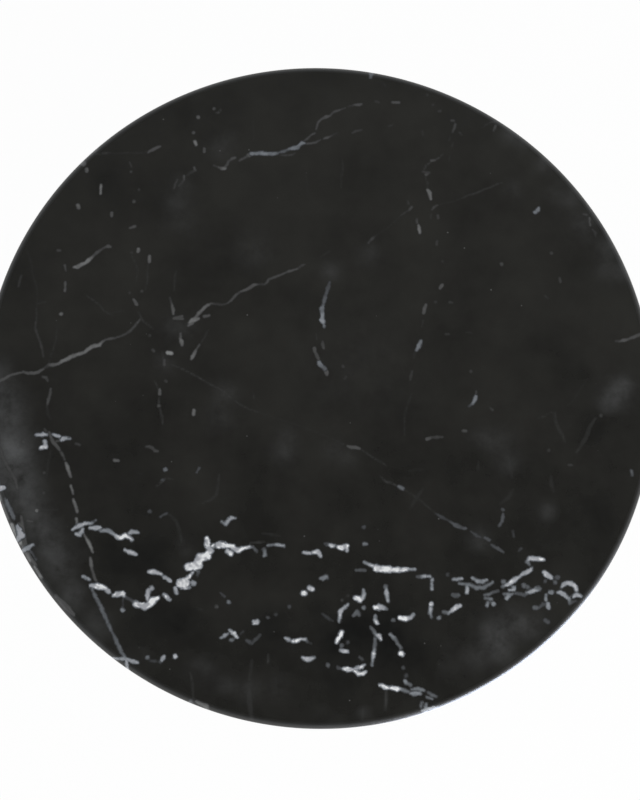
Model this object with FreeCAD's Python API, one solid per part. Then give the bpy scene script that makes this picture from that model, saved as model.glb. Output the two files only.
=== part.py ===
"""Round pedestal table in millimetres: floor at Z = 0, +Z up, the column's axis on Z.

A polished stone disc is bonded to a plywood disc. A cast four-armed spider is screwed under the plywood
and stands on a round steel column. One long tie rod pulls spider, column, dished foot cover and cast
ballast plate together. Four levelling glides screw into the ballast plate.
"""
import FreeCAD, Part
import math
import os

Vector = FreeCAD.Vector
ORIGIN = Vector(0, 0, 0)
UP = Vector(0, 0, 1)

# ---- overall ----
TABLE_HEIGHT = 750.0        # floor to the top face of the stone

# ---- stone top ----
TOP_RADIUS = 300.0
TOP_THICKNESS = 20.0
TOP_UPPER_ROUND = 5.0       # pencil round on the upper arris
TOP_LOWER_ROUND = 2.0

# ---- adhesive between stone and plywood ----
ADHESIVE_THICKNESS = 1.5
DAB_RADIUS = 16.0
INNER_DAB_CIRCLE = 95.0
INNER_DABS = 4
OUTER_DAB_MARGIN = 34.0     # plywood's edge to the outer ring of dabs
OUTER_DABS = 8

# ---- plywood disc ----
BACKING_RADIUS = 210.0
BACKING_THICKNESS = 15.0
BACKING_BEVEL_HEIGHT = 9.0  # undercut on the lower edge
BACKING_BEVEL_DEPTH = 14.0

# ---- screws, washers and tee nuts that hold the spider to the plywood ----
SCREW_RADIUS = 3.0
SCREW_LENGTH = 20.0
SCREW_HEAD_RADIUS = 5.4
SCREW_HEAD_HEIGHT = 3.3
SCREW_HEAD_ROUND = 2.0
SCREW_SOCKET_FLATS = 4.0
SCREW_SOCKET_DEPTH = 2.0
SCREW_PITCH = 31.0          # between the two screws of one arm
WASHER_RADIUS = 7.5
WASHER_THICKNESS = 1.3
TEE_FLANGE_RADIUS = 9.5
TEE_FLANGE_THICKNESS = 1.2
TEE_BARREL_RADIUS = 4.5
TEE_BARREL_LENGTH = 10.0
THREAD_CLEARANCE = 0.05     # radial, between a male thread and the part it runs in
HOLE_CLEARANCE = 0.4        # radial, round a screw or rod that passes freely
SEAT_CLEARANCE = 0.2        # radial, round a flange or plug in its recess

# ---- cast spider ----
SPIDER_ARMS = 4
SPIDER_ARM_THICKNESS = 7.0
SPIDER_ARM_REACH = 144.0    # axis to the centre of the rounded tip
SPIDER_TIP_RADIUS = 14.0
SPIDER_ROOT_WIDTH = 50.0
SPIDER_RIB_WIDTH = 9.0
SPIDER_RIB_MARGIN = 16.0    # end of the rib to the inner screw
SPIDER_HUB_OVERHANG = 8.0   # past the column's outside
SPIDER_HUB_HEIGHT = 25.0
SPIDER_HUB_ROUND = 3.0
SPIGOT_HEIGHT = 14.0
SPIGOT_CHAMFER = 1.5

# ---- column ----
COLUMN_RADIUS = 38.0
COLUMN_WALL = 2.0

# ---- tie rod, its nuts and washers ----
ROD_RADIUS = 6.0
ROD_NUT_FLATS = 19.0
ROD_NUT_HEIGHT = 10.0
ROD_WASHER_RADIUS = 12.0
ROD_WASHER_THICKNESS = 2.5
ROD_END_PROUD = 1.0         # thread that shows past each nut
NUT_RECESS_RADIUS = 17.0
NUT_RECESS_SPARE = 0.6      # air left past the end of the rod

# ---- centring plug and trim collar at the foot of the column ----
PLUG_HEIGHT = 14.0
PLUG_CHAMFER = 1.5
COLLAR_WIDTH = 8.8
COLLAR_HEIGHT = 9.0
COLLAR_ROUND = 3.5

# ---- dished foot cover ----
COVER_RADIUS = 215.0
COVER_GAUGE = 1.5
COVER_LIP_BOTTOM = 8.0      # height of the lip's lower edge over the floor
COVER_LIP_HEIGHT = 6.0
COVER_SHOULDER_ROUND = 18.0
COVER_SLOPE_DEG = 8.0
COVER_SEAT_MARGIN = 7.0     # flat middle past the collar
COVER_SEAT_ROUND = 30.0

# ---- edge guard clipped over the lip ----
GUARD_LEG = 1.2             # thickness of each leg outside and inside the lip
GUARD_ROUND = 0.55
GUARD_HEIGHT = 6.0
GUARD_FLOOR = 1.5           # rubber under the lip
GUARD_CLEARANCE = 0.1

# ---- ballast plate ----
BALLAST_MARGIN = 15.0       # inside the cover's outer face
BALLAST_THICKNESS = 13.0
BALLAST_ROUND = 3.0
BOSS_MARGIN = 6.0           # inside the cover's flat middle
BOSS_FLARE = 14.0           # wider at its foot than at its top
GLIDE_MARGIN = 32.0         # ballast's edge to the glides' circle
GLIDE_COUNT = 4
GLIDE_FIRST_DEG = 45.0
GLIDE_BOSS_RADIUS = 11.0
GLIDE_BOSS_HEIGHT = 5.0

# ---- foam ring between ballast and cover ----
FOAM_MARGIN = 9.0           # inside the ballast's edge
FOAM_WIDTH = 7.0
FOAM_CLEARANCE = 0.1

# ---- threaded inserts for the glides ----
INSERT_RADIUS = 6.5
INSERT_FLANGE_RADIUS = 8.5
INSERT_FLANGE_THICKNESS = 1.2

# ---- levelling glides ----
GLIDE_THREAD_RADIUS = 4.0
GLIDE_PAD_RADIUS = 17.0
GLIDE_PAD_HEIGHT = 9.0
GLIDE_PAD_ROUND = 3.0
GLIDE_PAD_FOOT_ROUND = 1.0
GLIDE_PAD_FLOOR = 1.2       # nylon under the ball
GLIDE_BALL_RADIUS = 5.0
GLIDE_BALL_CLEARANCE = 0.1
GLIDE_NECK_RADIUS = 3.0
GLIDE_HEX_FLATS = 12.0
GLIDE_HEX_HEIGHT = 3.8
GLIDE_HEX_GAP = 0.9         # pad to hexagon
GLIDE_STOP_GAP = 0.3        # hexagon to insert with the glide wound right in
GLIDE_THREAD_PROUD = 0.7    # thread that shows past the insert
GLIDE_THREAD_CHAMFER = 1.0

# ---- radii and levels that follow from the sizes above ----
STONE_BOTTOM = TABLE_HEIGHT - TOP_THICKNESS
BACKING_TOP = STONE_BOTTOM - ADHESIVE_THICKNESS
OUTER_DAB_CIRCLE = BACKING_RADIUS - OUTER_DAB_MARGIN
SPIDER_TOP = BACKING_TOP - BACKING_THICKNESS
ARM_BOTTOM = SPIDER_TOP - SPIDER_ARM_THICKNESS
SCREW_CIRCLES = (SPIDER_ARM_REACH - SCREW_PITCH, SPIDER_ARM_REACH)
SPIDER_RIB_END = SCREW_CIRCLES[0] - SPIDER_RIB_MARGIN
SPIDER_HUB_RADIUS = COLUMN_RADIUS + SPIDER_HUB_OVERHANG
COLUMN_TOP = SPIDER_TOP - SPIDER_HUB_HEIGHT
COLUMN_BORE = COLUMN_RADIUS - COLUMN_WALL
PLUG_RADIUS = COLUMN_BORE - SEAT_CLEARANCE
COLLAR_BORE = COLUMN_RADIUS + SEAT_CLEARANCE
COLLAR_RADIUS = COLLAR_BORE + COLLAR_WIDTH

LIP_TOP = COVER_LIP_BOTTOM + COVER_LIP_HEIGHT
SLOPE = math.radians(COVER_SLOPE_DEG)
SHOULDER_TOP_RADIUS = COVER_RADIUS - COVER_SHOULDER_ROUND * (1 - math.sin(SLOPE))
SHOULDER_TOP = LIP_TOP + COVER_SHOULDER_ROUND * math.cos(SLOPE)
COVER_SEAT_RADIUS = COLLAR_RADIUS + COVER_SEAT_MARGIN
COVER_TOP = SHOULDER_TOP + (SHOULDER_TOP_RADIUS - COVER_SEAT_RADIUS) * math.tan(SLOPE)

BALLAST_RADIUS = COVER_RADIUS - BALLAST_MARGIN
BALLAST_BOTTOM = GLIDE_PAD_HEIGHT + GLIDE_HEX_GAP + GLIDE_HEX_HEIGHT + GLIDE_STOP_GAP
BALLAST_TOP = BALLAST_BOTTOM + BALLAST_THICKNESS
BOSS_TOP_RADIUS = COVER_SEAT_RADIUS - BOSS_MARGIN
BOSS_TOP = COVER_TOP - COVER_GAUGE
FOAM_RADIUS = BALLAST_RADIUS - FOAM_MARGIN

GLIDE_CIRCLE = BALLAST_RADIUS - GLIDE_MARGIN
INSERT_TOP = BALLAST_TOP + GLIDE_BOSS_HEIGHT
GLIDE_BALL_HEIGHT = GLIDE_PAD_FLOOR + GLIDE_BALL_CLEARANCE + GLIDE_BALL_RADIUS
HEX_TOP = BALLAST_BOTTOM - GLIDE_STOP_GAP

ROD_HOLE = ROD_RADIUS + HOLE_CLEARANCE
NUT_RECESS_DEPTH = ROD_WASHER_THICKNESS + ROD_NUT_HEIGHT + ROD_END_PROUD + NUT_RECESS_SPARE
TOP_NUT_SEAT = SPIDER_TOP - NUT_RECESS_DEPTH
BOTTOM_NUT_SEAT = BALLAST_BOTTOM + NUT_RECESS_DEPTH
ROD_TOP = SPIDER_TOP - NUT_RECESS_SPARE
ROD_BOTTOM = BALLAST_BOTTOM + NUT_RECESS_SPARE


def cylinder(radius, bottom, top):
    return Part.makeCylinder(radius, top - bottom, Vector(0, 0, bottom), UP)


def tube(outer, inner, bottom, top):
    return cylinder(outer, bottom, top).cut(cylinder(inner, bottom, top))


def hexagon(flats, bottom, top):
    """Upright hexagonal bar of that width across its flats."""
    corner = flats / math.sqrt(3)
    points = [Vector(corner * math.cos(math.radians(60 * i)), corner * math.sin(math.radians(60 * i)), bottom)
              for i in range(6)]
    outline = Part.makePolygon(points + points[:1])
    return Part.Face(outline).extrude(Vector(0, 0, top - bottom))


def outline_with_rounds(corners):
    """Closed wire in the XZ plane through (radius, height[, round]) corners, each round a tangent arc."""
    points = [Vector(c[0], 0, c[1]) for c in corners]
    rounds = [c[2] if len(c) > 2 else 0.0 for c in corners]
    starts, ends, arcs = [], [], []
    for i, corner in enumerate(points):
        back = (points[i - 1] - corner).normalize()
        ahead = (points[(i + 1) % len(points)] - corner).normalize()
        if not rounds[i]:
            starts.append(corner)
            ends.append(corner)
            arcs.append(None)
            continue
        half = back.getAngle(ahead) / 2
        run = rounds[i] / math.tan(half)
        inward = (back + ahead).normalize()
        middle = corner + inward * (rounds[i] / math.sin(half) - rounds[i])
        starts.append(corner + back * run)
        ends.append(corner + ahead * run)
        arcs.append(Part.Arc(starts[i], middle, ends[i]).toShape())
    edges = []
    for i in range(len(points)):
        if arcs[i]:
            edges.append(arcs[i])
        there = starts[(i + 1) % len(points)]
        if (there - ends[i]).Length > 1e-6:
            edges.append(Part.LineSegment(ends[i], there).toShape())
    return Part.Wire(edges)


def turned(corners):
    """Solid turned about Z from its half section."""
    return Part.Face(outline_with_rounds(corners)).revolve(ORIGIN, UP, 360)


def placed(shape, radius, degrees):
    """Copy of a shape made on Z, moved out along X and then turned about Z."""
    copy = shape.copy()
    copy.translate(Vector(radius, 0, 0))
    copy.rotate(ORIGIN, UP, degrees)
    return copy


def ring_of(shape, radius, count, first=0.0):
    return [placed(shape, radius, first + 360.0 * i / count) for i in range(count)]


def at_screws(shape):
    """One copy of a shape at each screw of each spider arm."""
    return [copy for circle in SCREW_CIRCLES for copy in ring_of(shape, circle, SPIDER_ARMS)]


# ---- the top ----

def marble_top():
    return turned([(0, STONE_BOTTOM), (TOP_RADIUS, STONE_BOTTOM, TOP_LOWER_ROUND),
                   (TOP_RADIUS, TABLE_HEIGHT, TOP_UPPER_ROUND), (0, TABLE_HEIGHT)])


def adhesive_dabs():
    dab = cylinder(DAB_RADIUS, BACKING_TOP, STONE_BOTTOM)
    half_step = 180.0 / OUTER_DABS
    return Part.makeCompound(ring_of(dab, INNER_DAB_CIRCLE, INNER_DABS, 180.0 / INNER_DABS)
                             + ring_of(dab, OUTER_DAB_CIRCLE, OUTER_DABS, half_step))


def backing_disc():
    disc = turned([(0, SPIDER_TOP), (BACKING_RADIUS - BACKING_BEVEL_DEPTH, SPIDER_TOP),
                   (BACKING_RADIUS, SPIDER_TOP + BACKING_BEVEL_HEIGHT), (BACKING_RADIUS, BACKING_TOP),
                   (0, BACKING_TOP)])
    flange_seat = cylinder(TEE_FLANGE_RADIUS + SEAT_CLEARANCE, BACKING_TOP - TEE_FLANGE_THICKNESS,
                           BACKING_TOP)
    barrel_hole = cylinder(TEE_BARREL_RADIUS + THREAD_CLEARANCE, BACKING_TOP - TEE_BARREL_LENGTH, BACKING_TOP)
    screw_hole = cylinder(SCREW_RADIUS + HOLE_CLEARANCE, SPIDER_TOP, BACKING_TOP)
    return disc.cut(at_screws(flange_seat.fuse([barrel_hole, screw_hole])))


def tee_nuts():
    flange = cylinder(TEE_FLANGE_RADIUS, BACKING_TOP - TEE_FLANGE_THICKNESS, BACKING_TOP)
    barrel = cylinder(TEE_BARREL_RADIUS, BACKING_TOP - TEE_BARREL_LENGTH, BACKING_TOP)
    thread = cylinder(SCREW_RADIUS + THREAD_CLEARANCE, BACKING_TOP - TEE_BARREL_LENGTH, BACKING_TOP)
    return Part.makeCompound(at_screws(flange.fuse(barrel).cut(thread).removeSplitter()))


# ---- spider and its screws ----

def spider_arm():
    """One arm along +X: a flat tapering plate with a rounded tip over a rib that dies away."""
    half_root, reach, tip = SPIDER_ROOT_WIDTH / 2, SPIDER_ARM_REACH, SPIDER_TIP_RADIUS
    taper = math.asin((half_root - tip) / reach)
    edge_x, edge_y = reach + tip * math.sin(taper), tip * math.cos(taper)
    root_y = edge_y + edge_x * math.tan(taper)
    left, right = Vector(edge_x, edge_y, ARM_BOTTOM), Vector(edge_x, -edge_y, ARM_BOTTOM)
    root_left, root_right = Vector(0, root_y, ARM_BOTTOM), Vector(0, -root_y, ARM_BOTTOM)
    plan = Part.Wire([
        Part.LineSegment(root_left, left).toShape(),
        Part.Arc(left, Vector(reach + tip, 0, ARM_BOTTOM), right).toShape(),
        Part.LineSegment(right, root_right).toShape(),
        Part.LineSegment(root_right, root_left).toShape(),
    ])
    plate = Part.Face(plan).extrude(Vector(0, 0, SPIDER_ARM_THICKNESS))
    rib_foot = COLUMN_TOP + SPIDER_HUB_ROUND
    side = -SPIDER_RIB_WIDTH / 2
    rib_plan = Part.makePolygon([Vector(0, side, rib_foot), Vector(SPIDER_HUB_RADIUS, side, rib_foot),
                                 Vector(SPIDER_RIB_END, side, ARM_BOTTOM), Vector(0, side, ARM_BOTTOM),
                                 Vector(0, side, rib_foot)])
    rib = Part.Face(rib_plan).extrude(Vector(0, SPIDER_RIB_WIDTH, 0))
    return plate.fuse(rib)


def spider():
    """Cast hub with a spigot that centres the column, four ribbed arms and a deep seat for the rod's nut."""
    hub = turned([(0, COLUMN_TOP), (SPIDER_HUB_RADIUS, COLUMN_TOP, SPIDER_HUB_ROUND),
                  (SPIDER_HUB_RADIUS, SPIDER_TOP), (0, SPIDER_TOP)])
    foot = COLUMN_TOP - SPIGOT_HEIGHT
    spigot = turned([(0, foot), (PLUG_RADIUS - SPIGOT_CHAMFER, foot), (PLUG_RADIUS, foot + SPIGOT_CHAMFER),
                     (PLUG_RADIUS, COLUMN_TOP), (0, COLUMN_TOP)])
    casting = hub.fuse([spigot] + ring_of(spider_arm(), 0, SPIDER_ARMS)).removeSplitter()
    nut_seat = cylinder(NUT_RECESS_RADIUS, TOP_NUT_SEAT, SPIDER_TOP)
    bore = cylinder(ROD_HOLE, foot, SPIDER_TOP)
    screw_hole = cylinder(SCREW_RADIUS + HOLE_CLEARANCE, ARM_BOTTOM, SPIDER_TOP)
    return casting.cut([nut_seat, bore] + at_screws(screw_hole))


def top_washers():
    washer = tube(WASHER_RADIUS, SCREW_RADIUS + HOLE_CLEARANCE, ARM_BOTTOM - WASHER_THICKNESS, ARM_BOTTOM)
    return Part.makeCompound(at_screws(washer))


def top_screws():
    seat = ARM_BOTTOM - WASHER_THICKNESS
    foot = seat - SCREW_HEAD_HEIGHT
    head = turned([(0, foot), (SCREW_HEAD_RADIUS, foot, SCREW_HEAD_ROUND), (SCREW_HEAD_RADIUS, seat),
                   (0, seat)])
    shank = cylinder(SCREW_RADIUS, seat, seat + SCREW_LENGTH)
    socket = hexagon(SCREW_SOCKET_FLATS, foot, foot + SCREW_SOCKET_DEPTH)
    return Part.makeCompound(at_screws(head.fuse(shank).removeSplitter().cut(socket)))


# ---- column and tie rod ----

def column_tube():
    return tube(COLUMN_RADIUS, COLUMN_BORE, COVER_TOP, COLUMN_TOP)


def tie_rod():
    return cylinder(ROD_RADIUS, ROD_BOTTOM, ROD_TOP)


def rod_nut(bottom):
    thread = cylinder(ROD_RADIUS + THREAD_CLEARANCE, bottom, bottom + ROD_NUT_HEIGHT)
    return hexagon(ROD_NUT_FLATS, bottom, bottom + ROD_NUT_HEIGHT).cut(thread)


def rod_washer(bottom):
    return tube(ROD_WASHER_RADIUS, ROD_HOLE, bottom, bottom + ROD_WASHER_THICKNESS)


def centring_plug():
    """Turned plug that keeps the foot of the column on the rod's axis."""
    top = COVER_TOP + PLUG_HEIGHT
    return turned([(ROD_HOLE, COVER_TOP), (PLUG_RADIUS, COVER_TOP), (PLUG_RADIUS, top - PLUG_CHAMFER),
                   (PLUG_RADIUS - PLUG_CHAMFER, top), (ROD_HOLE, top)])


def trim_collar():
    top = COVER_TOP + COLLAR_HEIGHT
    return turned([(COLLAR_BORE, COVER_TOP), (COLLAR_RADIUS, COVER_TOP), (COLLAR_RADIUS, top, COLLAR_ROUND),
                   (COLLAR_BORE, top)])


# ---- weighted foot ----

def cover_skin(inset):
    """Corners of the cover's outer skin, moved inwards by a distance square to the sheet."""
    tilt = inset / math.cos(SLOPE)
    flat = COVER_TOP - inset
    meet = COVER_SEAT_RADIUS - inset * math.tan(SLOPE / 2)
    crest = SHOULDER_TOP + (SHOULDER_TOP_RADIUS - (COVER_RADIUS - inset)) * math.tan(SLOPE) - tilt
    return [(COVER_RADIUS - inset, COVER_LIP_BOTTOM),
            (COVER_RADIUS - inset, crest, COVER_SHOULDER_ROUND - inset),
            (meet, flat, COVER_SEAT_ROUND + inset)]


def base_cover():
    """Spun steel dish: upright lip, round shoulder, shallow cone and a flat seat in the middle."""
    outside, inside = cover_skin(0.0), cover_skin(COVER_GAUGE)
    return turned(outside + [(ROD_HOLE, COVER_TOP), (ROD_HOLE, COVER_TOP - COVER_GAUGE)] + inside[::-1])


def edge_guard():
    """Rubber channel clipped over the lip's lower edge."""
    floor = COVER_LIP_BOTTOM - GUARD_CLEARANCE
    outer_slot, inner_slot = COVER_RADIUS + GUARD_CLEARANCE, COVER_RADIUS - COVER_GAUGE - GUARD_CLEARANCE
    foot, top = floor - GUARD_FLOOR, floor - GUARD_FLOOR + GUARD_HEIGHT
    outside, inside = outer_slot + GUARD_LEG, inner_slot - GUARD_LEG
    return turned([(inside, foot, GUARD_ROUND), (outside, foot, GUARD_ROUND), (outside, top, GUARD_ROUND),
                   (outer_slot, top), (outer_slot, floor), (inner_slot, floor), (inner_slot, top),
                   (inside, top, GUARD_ROUND)])


def ballast_plate():
    """Cast disc with a middle boss under the column and a small boss over each glide."""
    disc = turned([(0, BALLAST_BOTTOM), (BALLAST_RADIUS, BALLAST_BOTTOM, BALLAST_ROUND),
                   (BALLAST_RADIUS, BALLAST_TOP, BALLAST_ROUND), (0, BALLAST_TOP)])
    boss = turned([(0, BALLAST_TOP), (BOSS_TOP_RADIUS + BOSS_FLARE, BALLAST_TOP), (BOSS_TOP_RADIUS, BOSS_TOP),
                   (0, BOSS_TOP)])
    glide_boss = cylinder(GLIDE_BOSS_RADIUS, BALLAST_TOP, INSERT_TOP)
    glide_bosses = ring_of(glide_boss, GLIDE_CIRCLE, GLIDE_COUNT, GLIDE_FIRST_DEG)
    casting = disc.fuse([boss] + glide_bosses).removeSplitter()
    nut_seat = cylinder(NUT_RECESS_RADIUS, BALLAST_BOTTOM, BOTTOM_NUT_SEAT)
    bore = cylinder(ROD_HOLE, BALLAST_BOTTOM, BOSS_TOP)
    flange_seat = cylinder(INSERT_FLANGE_RADIUS + SEAT_CLEARANCE, BALLAST_BOTTOM,
                           BALLAST_BOTTOM + INSERT_FLANGE_THICKNESS)
    insert_hole = cylinder(INSERT_RADIUS, BALLAST_BOTTOM, INSERT_TOP)
    pockets = ring_of(flange_seat.fuse(insert_hole), GLIDE_CIRCLE, GLIDE_COUNT, GLIDE_FIRST_DEG)
    return casting.cut([nut_seat, bore] + pockets)


def glide_inserts():
    """Threaded steel bushes pressed into the ballast plate from below."""
    flange = cylinder(INSERT_FLANGE_RADIUS, BALLAST_BOTTOM, BALLAST_BOTTOM + INSERT_FLANGE_THICKNESS)
    barrel = cylinder(INSERT_RADIUS, BALLAST_BOTTOM, INSERT_TOP)
    thread = cylinder(GLIDE_THREAD_RADIUS, BALLAST_BOTTOM, INSERT_TOP)
    insert = flange.fuse(barrel).removeSplitter().cut(thread)
    return Part.makeCompound(ring_of(insert, GLIDE_CIRCLE, GLIDE_COUNT, GLIDE_FIRST_DEG))


def foam_ring():
    """Soft ring that keeps the cover from drumming on the ballast; its top follows the cover's slope."""
    inner = FOAM_RADIUS - FOAM_WIDTH

    def under_cover(radius):
        rise = (SHOULDER_TOP_RADIUS - radius) * math.tan(SLOPE)
        return SHOULDER_TOP + rise - COVER_GAUGE / math.cos(SLOPE) - FOAM_CLEARANCE

    return turned([(inner, BALLAST_TOP), (FOAM_RADIUS, BALLAST_TOP), (FOAM_RADIUS, under_cover(FOAM_RADIUS)),
                   (inner, under_cover(inner))])


# ---- levelling glides ----

def glide_pad():
    """Moulded foot with a ball socket open at the top."""
    pad = turned([(0, 0), (GLIDE_PAD_RADIUS, 0, GLIDE_PAD_FOOT_ROUND),
                  (GLIDE_PAD_RADIUS, GLIDE_PAD_HEIGHT, GLIDE_PAD_ROUND), (0, GLIDE_PAD_HEIGHT)])
    socket = Part.makeSphere(GLIDE_BALL_RADIUS + GLIDE_BALL_CLEARANCE, Vector(0, 0, GLIDE_BALL_HEIGHT))
    return pad.cut(socket)


def glide_stem():
    """Steel ball, neck, spanner hexagon and thread in one piece."""
    ball = Part.makeSphere(GLIDE_BALL_RADIUS, Vector(0, 0, GLIDE_BALL_HEIGHT))
    neck = cylinder(GLIDE_NECK_RADIUS, GLIDE_BALL_HEIGHT, HEX_TOP)
    spanner_hex = hexagon(GLIDE_HEX_FLATS, HEX_TOP - GLIDE_HEX_HEIGHT, HEX_TOP)
    top = INSERT_TOP + GLIDE_THREAD_PROUD
    radius = GLIDE_THREAD_RADIUS - THREAD_CLEARANCE
    thread = turned([(0, HEX_TOP), (radius, HEX_TOP), (radius, top - GLIDE_THREAD_CHAMFER),
                     (radius - GLIDE_THREAD_CHAMFER, top), (0, top)])
    return ball.fuse([neck, spanner_hex, thread]).removeSplitter()


def build():
    nodes = {
        "marble_top": marble_top(),
        "adhesive_dabs": adhesive_dabs(),
        "backing_disc": backing_disc(),
        "tee_nuts": tee_nuts(),
        "spider": spider(),
        "top_washers": top_washers(),
        "top_screws": top_screws(),
        "column_tube": column_tube(),
        "tie_rod": tie_rod(),
        "rod_top_washer": rod_washer(TOP_NUT_SEAT),
        "rod_top_nut": rod_nut(TOP_NUT_SEAT + ROD_WASHER_THICKNESS),
        "rod_bottom_washer": rod_washer(BOTTOM_NUT_SEAT - ROD_WASHER_THICKNESS),
        "rod_bottom_nut": rod_nut(BOTTOM_NUT_SEAT - ROD_WASHER_THICKNESS - ROD_NUT_HEIGHT),
        "centring_plug": centring_plug(),
        "trim_collar": trim_collar(),
        "base_cover": base_cover(),
        "edge_guard": edge_guard(),
        "ballast_plate": ballast_plate(),
        "glide_inserts": glide_inserts(),
        "foam_ring": foam_ring(),
    }
    for number, pad in enumerate(ring_of(glide_pad(), GLIDE_CIRCLE, GLIDE_COUNT, GLIDE_FIRST_DEG), 1):
        nodes[f"glide_pad_{number}"] = pad
    for number, stem in enumerate(ring_of(glide_stem(), GLIDE_CIRCLE, GLIDE_COUNT, GLIDE_FIRST_DEG), 1):
        nodes[f"glide_stem_{number}"] = stem
    return nodes


def main():
    os.makedirs("parts", exist_ok=True)
    for name, shape in build().items():
        if not shape.isValid() or any(solid.Volume <= 0 for solid in shape.Solids) or not shape.Solids:
            raise ValueError(f"{name} isn't a sound solid")
        shape.exportStep(f"parts/{name}.step")
        box = shape.BoundBox
        print(f"{name:18s} solids {len(shape.Solids):2d}  volume {shape.Volume / 1000:9.2f} cm3  "
              f"Z {box.ZMin:7.2f} to {box.ZMax:7.2f}")


main()
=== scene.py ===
"""Looks of a round pedestal table: marble slab, birch plywood, cast spider, steel column and weighted foot.

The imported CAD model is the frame. Shapes are written in millimetres and turned to metres as meshes are made.
"""
import math
from functools import partial

import bmesh
import bpy
import numpy as np
from bpy.props import FloatProperty, FloatVectorProperty, PointerProperty
from bpy.types import Operator, Panel, PropertyGroup
from mathutils import Matrix, Vector, geometry


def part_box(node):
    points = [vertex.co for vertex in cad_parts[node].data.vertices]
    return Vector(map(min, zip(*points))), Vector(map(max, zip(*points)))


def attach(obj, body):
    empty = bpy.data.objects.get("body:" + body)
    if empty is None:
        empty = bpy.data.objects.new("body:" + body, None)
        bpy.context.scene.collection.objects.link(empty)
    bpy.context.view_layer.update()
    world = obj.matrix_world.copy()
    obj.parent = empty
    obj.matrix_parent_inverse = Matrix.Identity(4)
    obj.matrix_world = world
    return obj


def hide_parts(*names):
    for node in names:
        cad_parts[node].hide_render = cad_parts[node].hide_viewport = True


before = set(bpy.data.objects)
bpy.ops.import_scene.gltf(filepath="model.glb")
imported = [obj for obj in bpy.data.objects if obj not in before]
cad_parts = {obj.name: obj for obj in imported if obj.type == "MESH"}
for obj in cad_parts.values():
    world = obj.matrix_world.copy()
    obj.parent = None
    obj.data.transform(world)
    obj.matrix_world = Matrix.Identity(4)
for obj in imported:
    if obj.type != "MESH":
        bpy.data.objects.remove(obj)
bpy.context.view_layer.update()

bl_info = {
    "name": "Round pedestal table",
    "version": (1, 0, 0),
    "blender": (4, 5, 0),
    "location": "3D View > Sidebar > Table",
    "description": "Builds the stone top, its carrier, the column and the weighted foot of a round table",
    "category": "Object",
}

MM = 0.001
WHITE = (1, 1, 1, 1)

# kinds of node that are used often
MATH, RANGE, MIX = "ShaderNodeMath", "ShaderNodeMapRange", "ShaderNodeMix"
NOISE, VORONOI, MAPPING = "ShaderNodeTexNoise", "ShaderNodeTexVoronoi", "ShaderNodeMapping"
VECTOR_MATH, SEPARATE, COMBINE = "ShaderNodeVectorMath", "ShaderNodeSeparateXYZ", "ShaderNodeCombineXYZ"
RAMP, BUMP = "ShaderNodeValToRGB", "ShaderNodeBump"


def size_of(node):
    """Lowest and highest corner of a CAD node, in millimetres."""
    low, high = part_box(node)
    return low / MM, high / MM


def levels(node):
    """Lowest and highest level of a CAD node, in millimetres."""
    low, high = size_of(node)
    return low.z, high.z


def radius_of(node):
    """Radius of a round CAD node on the table's axis, kept inside its box."""
    low, high = size_of(node)
    return min(-low.x, -low.y, high.x, high.y)


# ---- levels and radii read from the frame, in millimetres ----
STONE_RADIUS = radius_of("marble_top")
STONE_BOTTOM, STONE_TOP = levels("marble_top")
PLY_RADIUS = radius_of("backing_disc")
PLY_BOTTOM, PLY_TOP = levels("backing_disc")
WASHER_BOTTOM, WASHER_TOP = levels("top_washers")
SCREW_BOTTOM, SCREW_TOP = levels("top_screws")
TEE_BOTTOM, TEE_TOP = levels("tee_nuts")
COLUMN_RADIUS = radius_of("column_tube")
COLUMN_BOTTOM, COLUMN_TOP = levels("column_tube")
ROD_BOTTOM, ROD_TOP = levels("tie_rod")
PLUG_RADIUS = radius_of("centring_plug")
PLUG_BOTTOM, PLUG_TOP = levels("centring_plug")
COLLAR_RADIUS = radius_of("trim_collar")
COLLAR_BOTTOM, COLLAR_TOP = levels("trim_collar")
COVER_RADIUS = radius_of("base_cover")
COVER_BOTTOM, COVER_TOP = levels("base_cover")
GUARD_RADIUS = radius_of("edge_guard")
GUARD_BOTTOM, GUARD_TOP = levels("edge_guard")
FOAM_RADIUS = radius_of("foam_ring")
FOAM_BOTTOM, FOAM_TOP = levels("foam_ring")
INSERT_BOTTOM, INSERT_TOP = levels("glide_inserts")
PAD_BOTTOM, PAD_TOP = levels("glide_pad_1")
STEM_BOTTOM, STEM_TOP = levels("glide_stem_1")

# ---- places that repeat, in millimetres and degrees ----
ARM_SCREW_CIRCLES = ((113.0, 4, 0.0), (144.0, 4, 0.0))    # radius, number and first angle
DAB_CIRCLES = ((95.0, 4, 45.0), (176.0, 8, 22.5))
GLIDE_CIRCLE = 168.0
GLIDE_ANGLES = (45.0, 135.0, 225.0, 315.0)

# ---- sizes that repeat, in millimetres and radians ----
ROD_HOLE = 6.4                  # radius of each hole that the rod passes through
COVER_SLOPE = math.radians(8)   # of the cover's cone, which the foam ring's upper side follows

# ---- thread sizes, in millimetres ----
ROD_PITCH = 1.75
ROD_THREAD_DEPTH = 1.0
GLIDE_PITCH = 1.25
GLIDE_THREAD_DEPTH = 0.75

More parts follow.
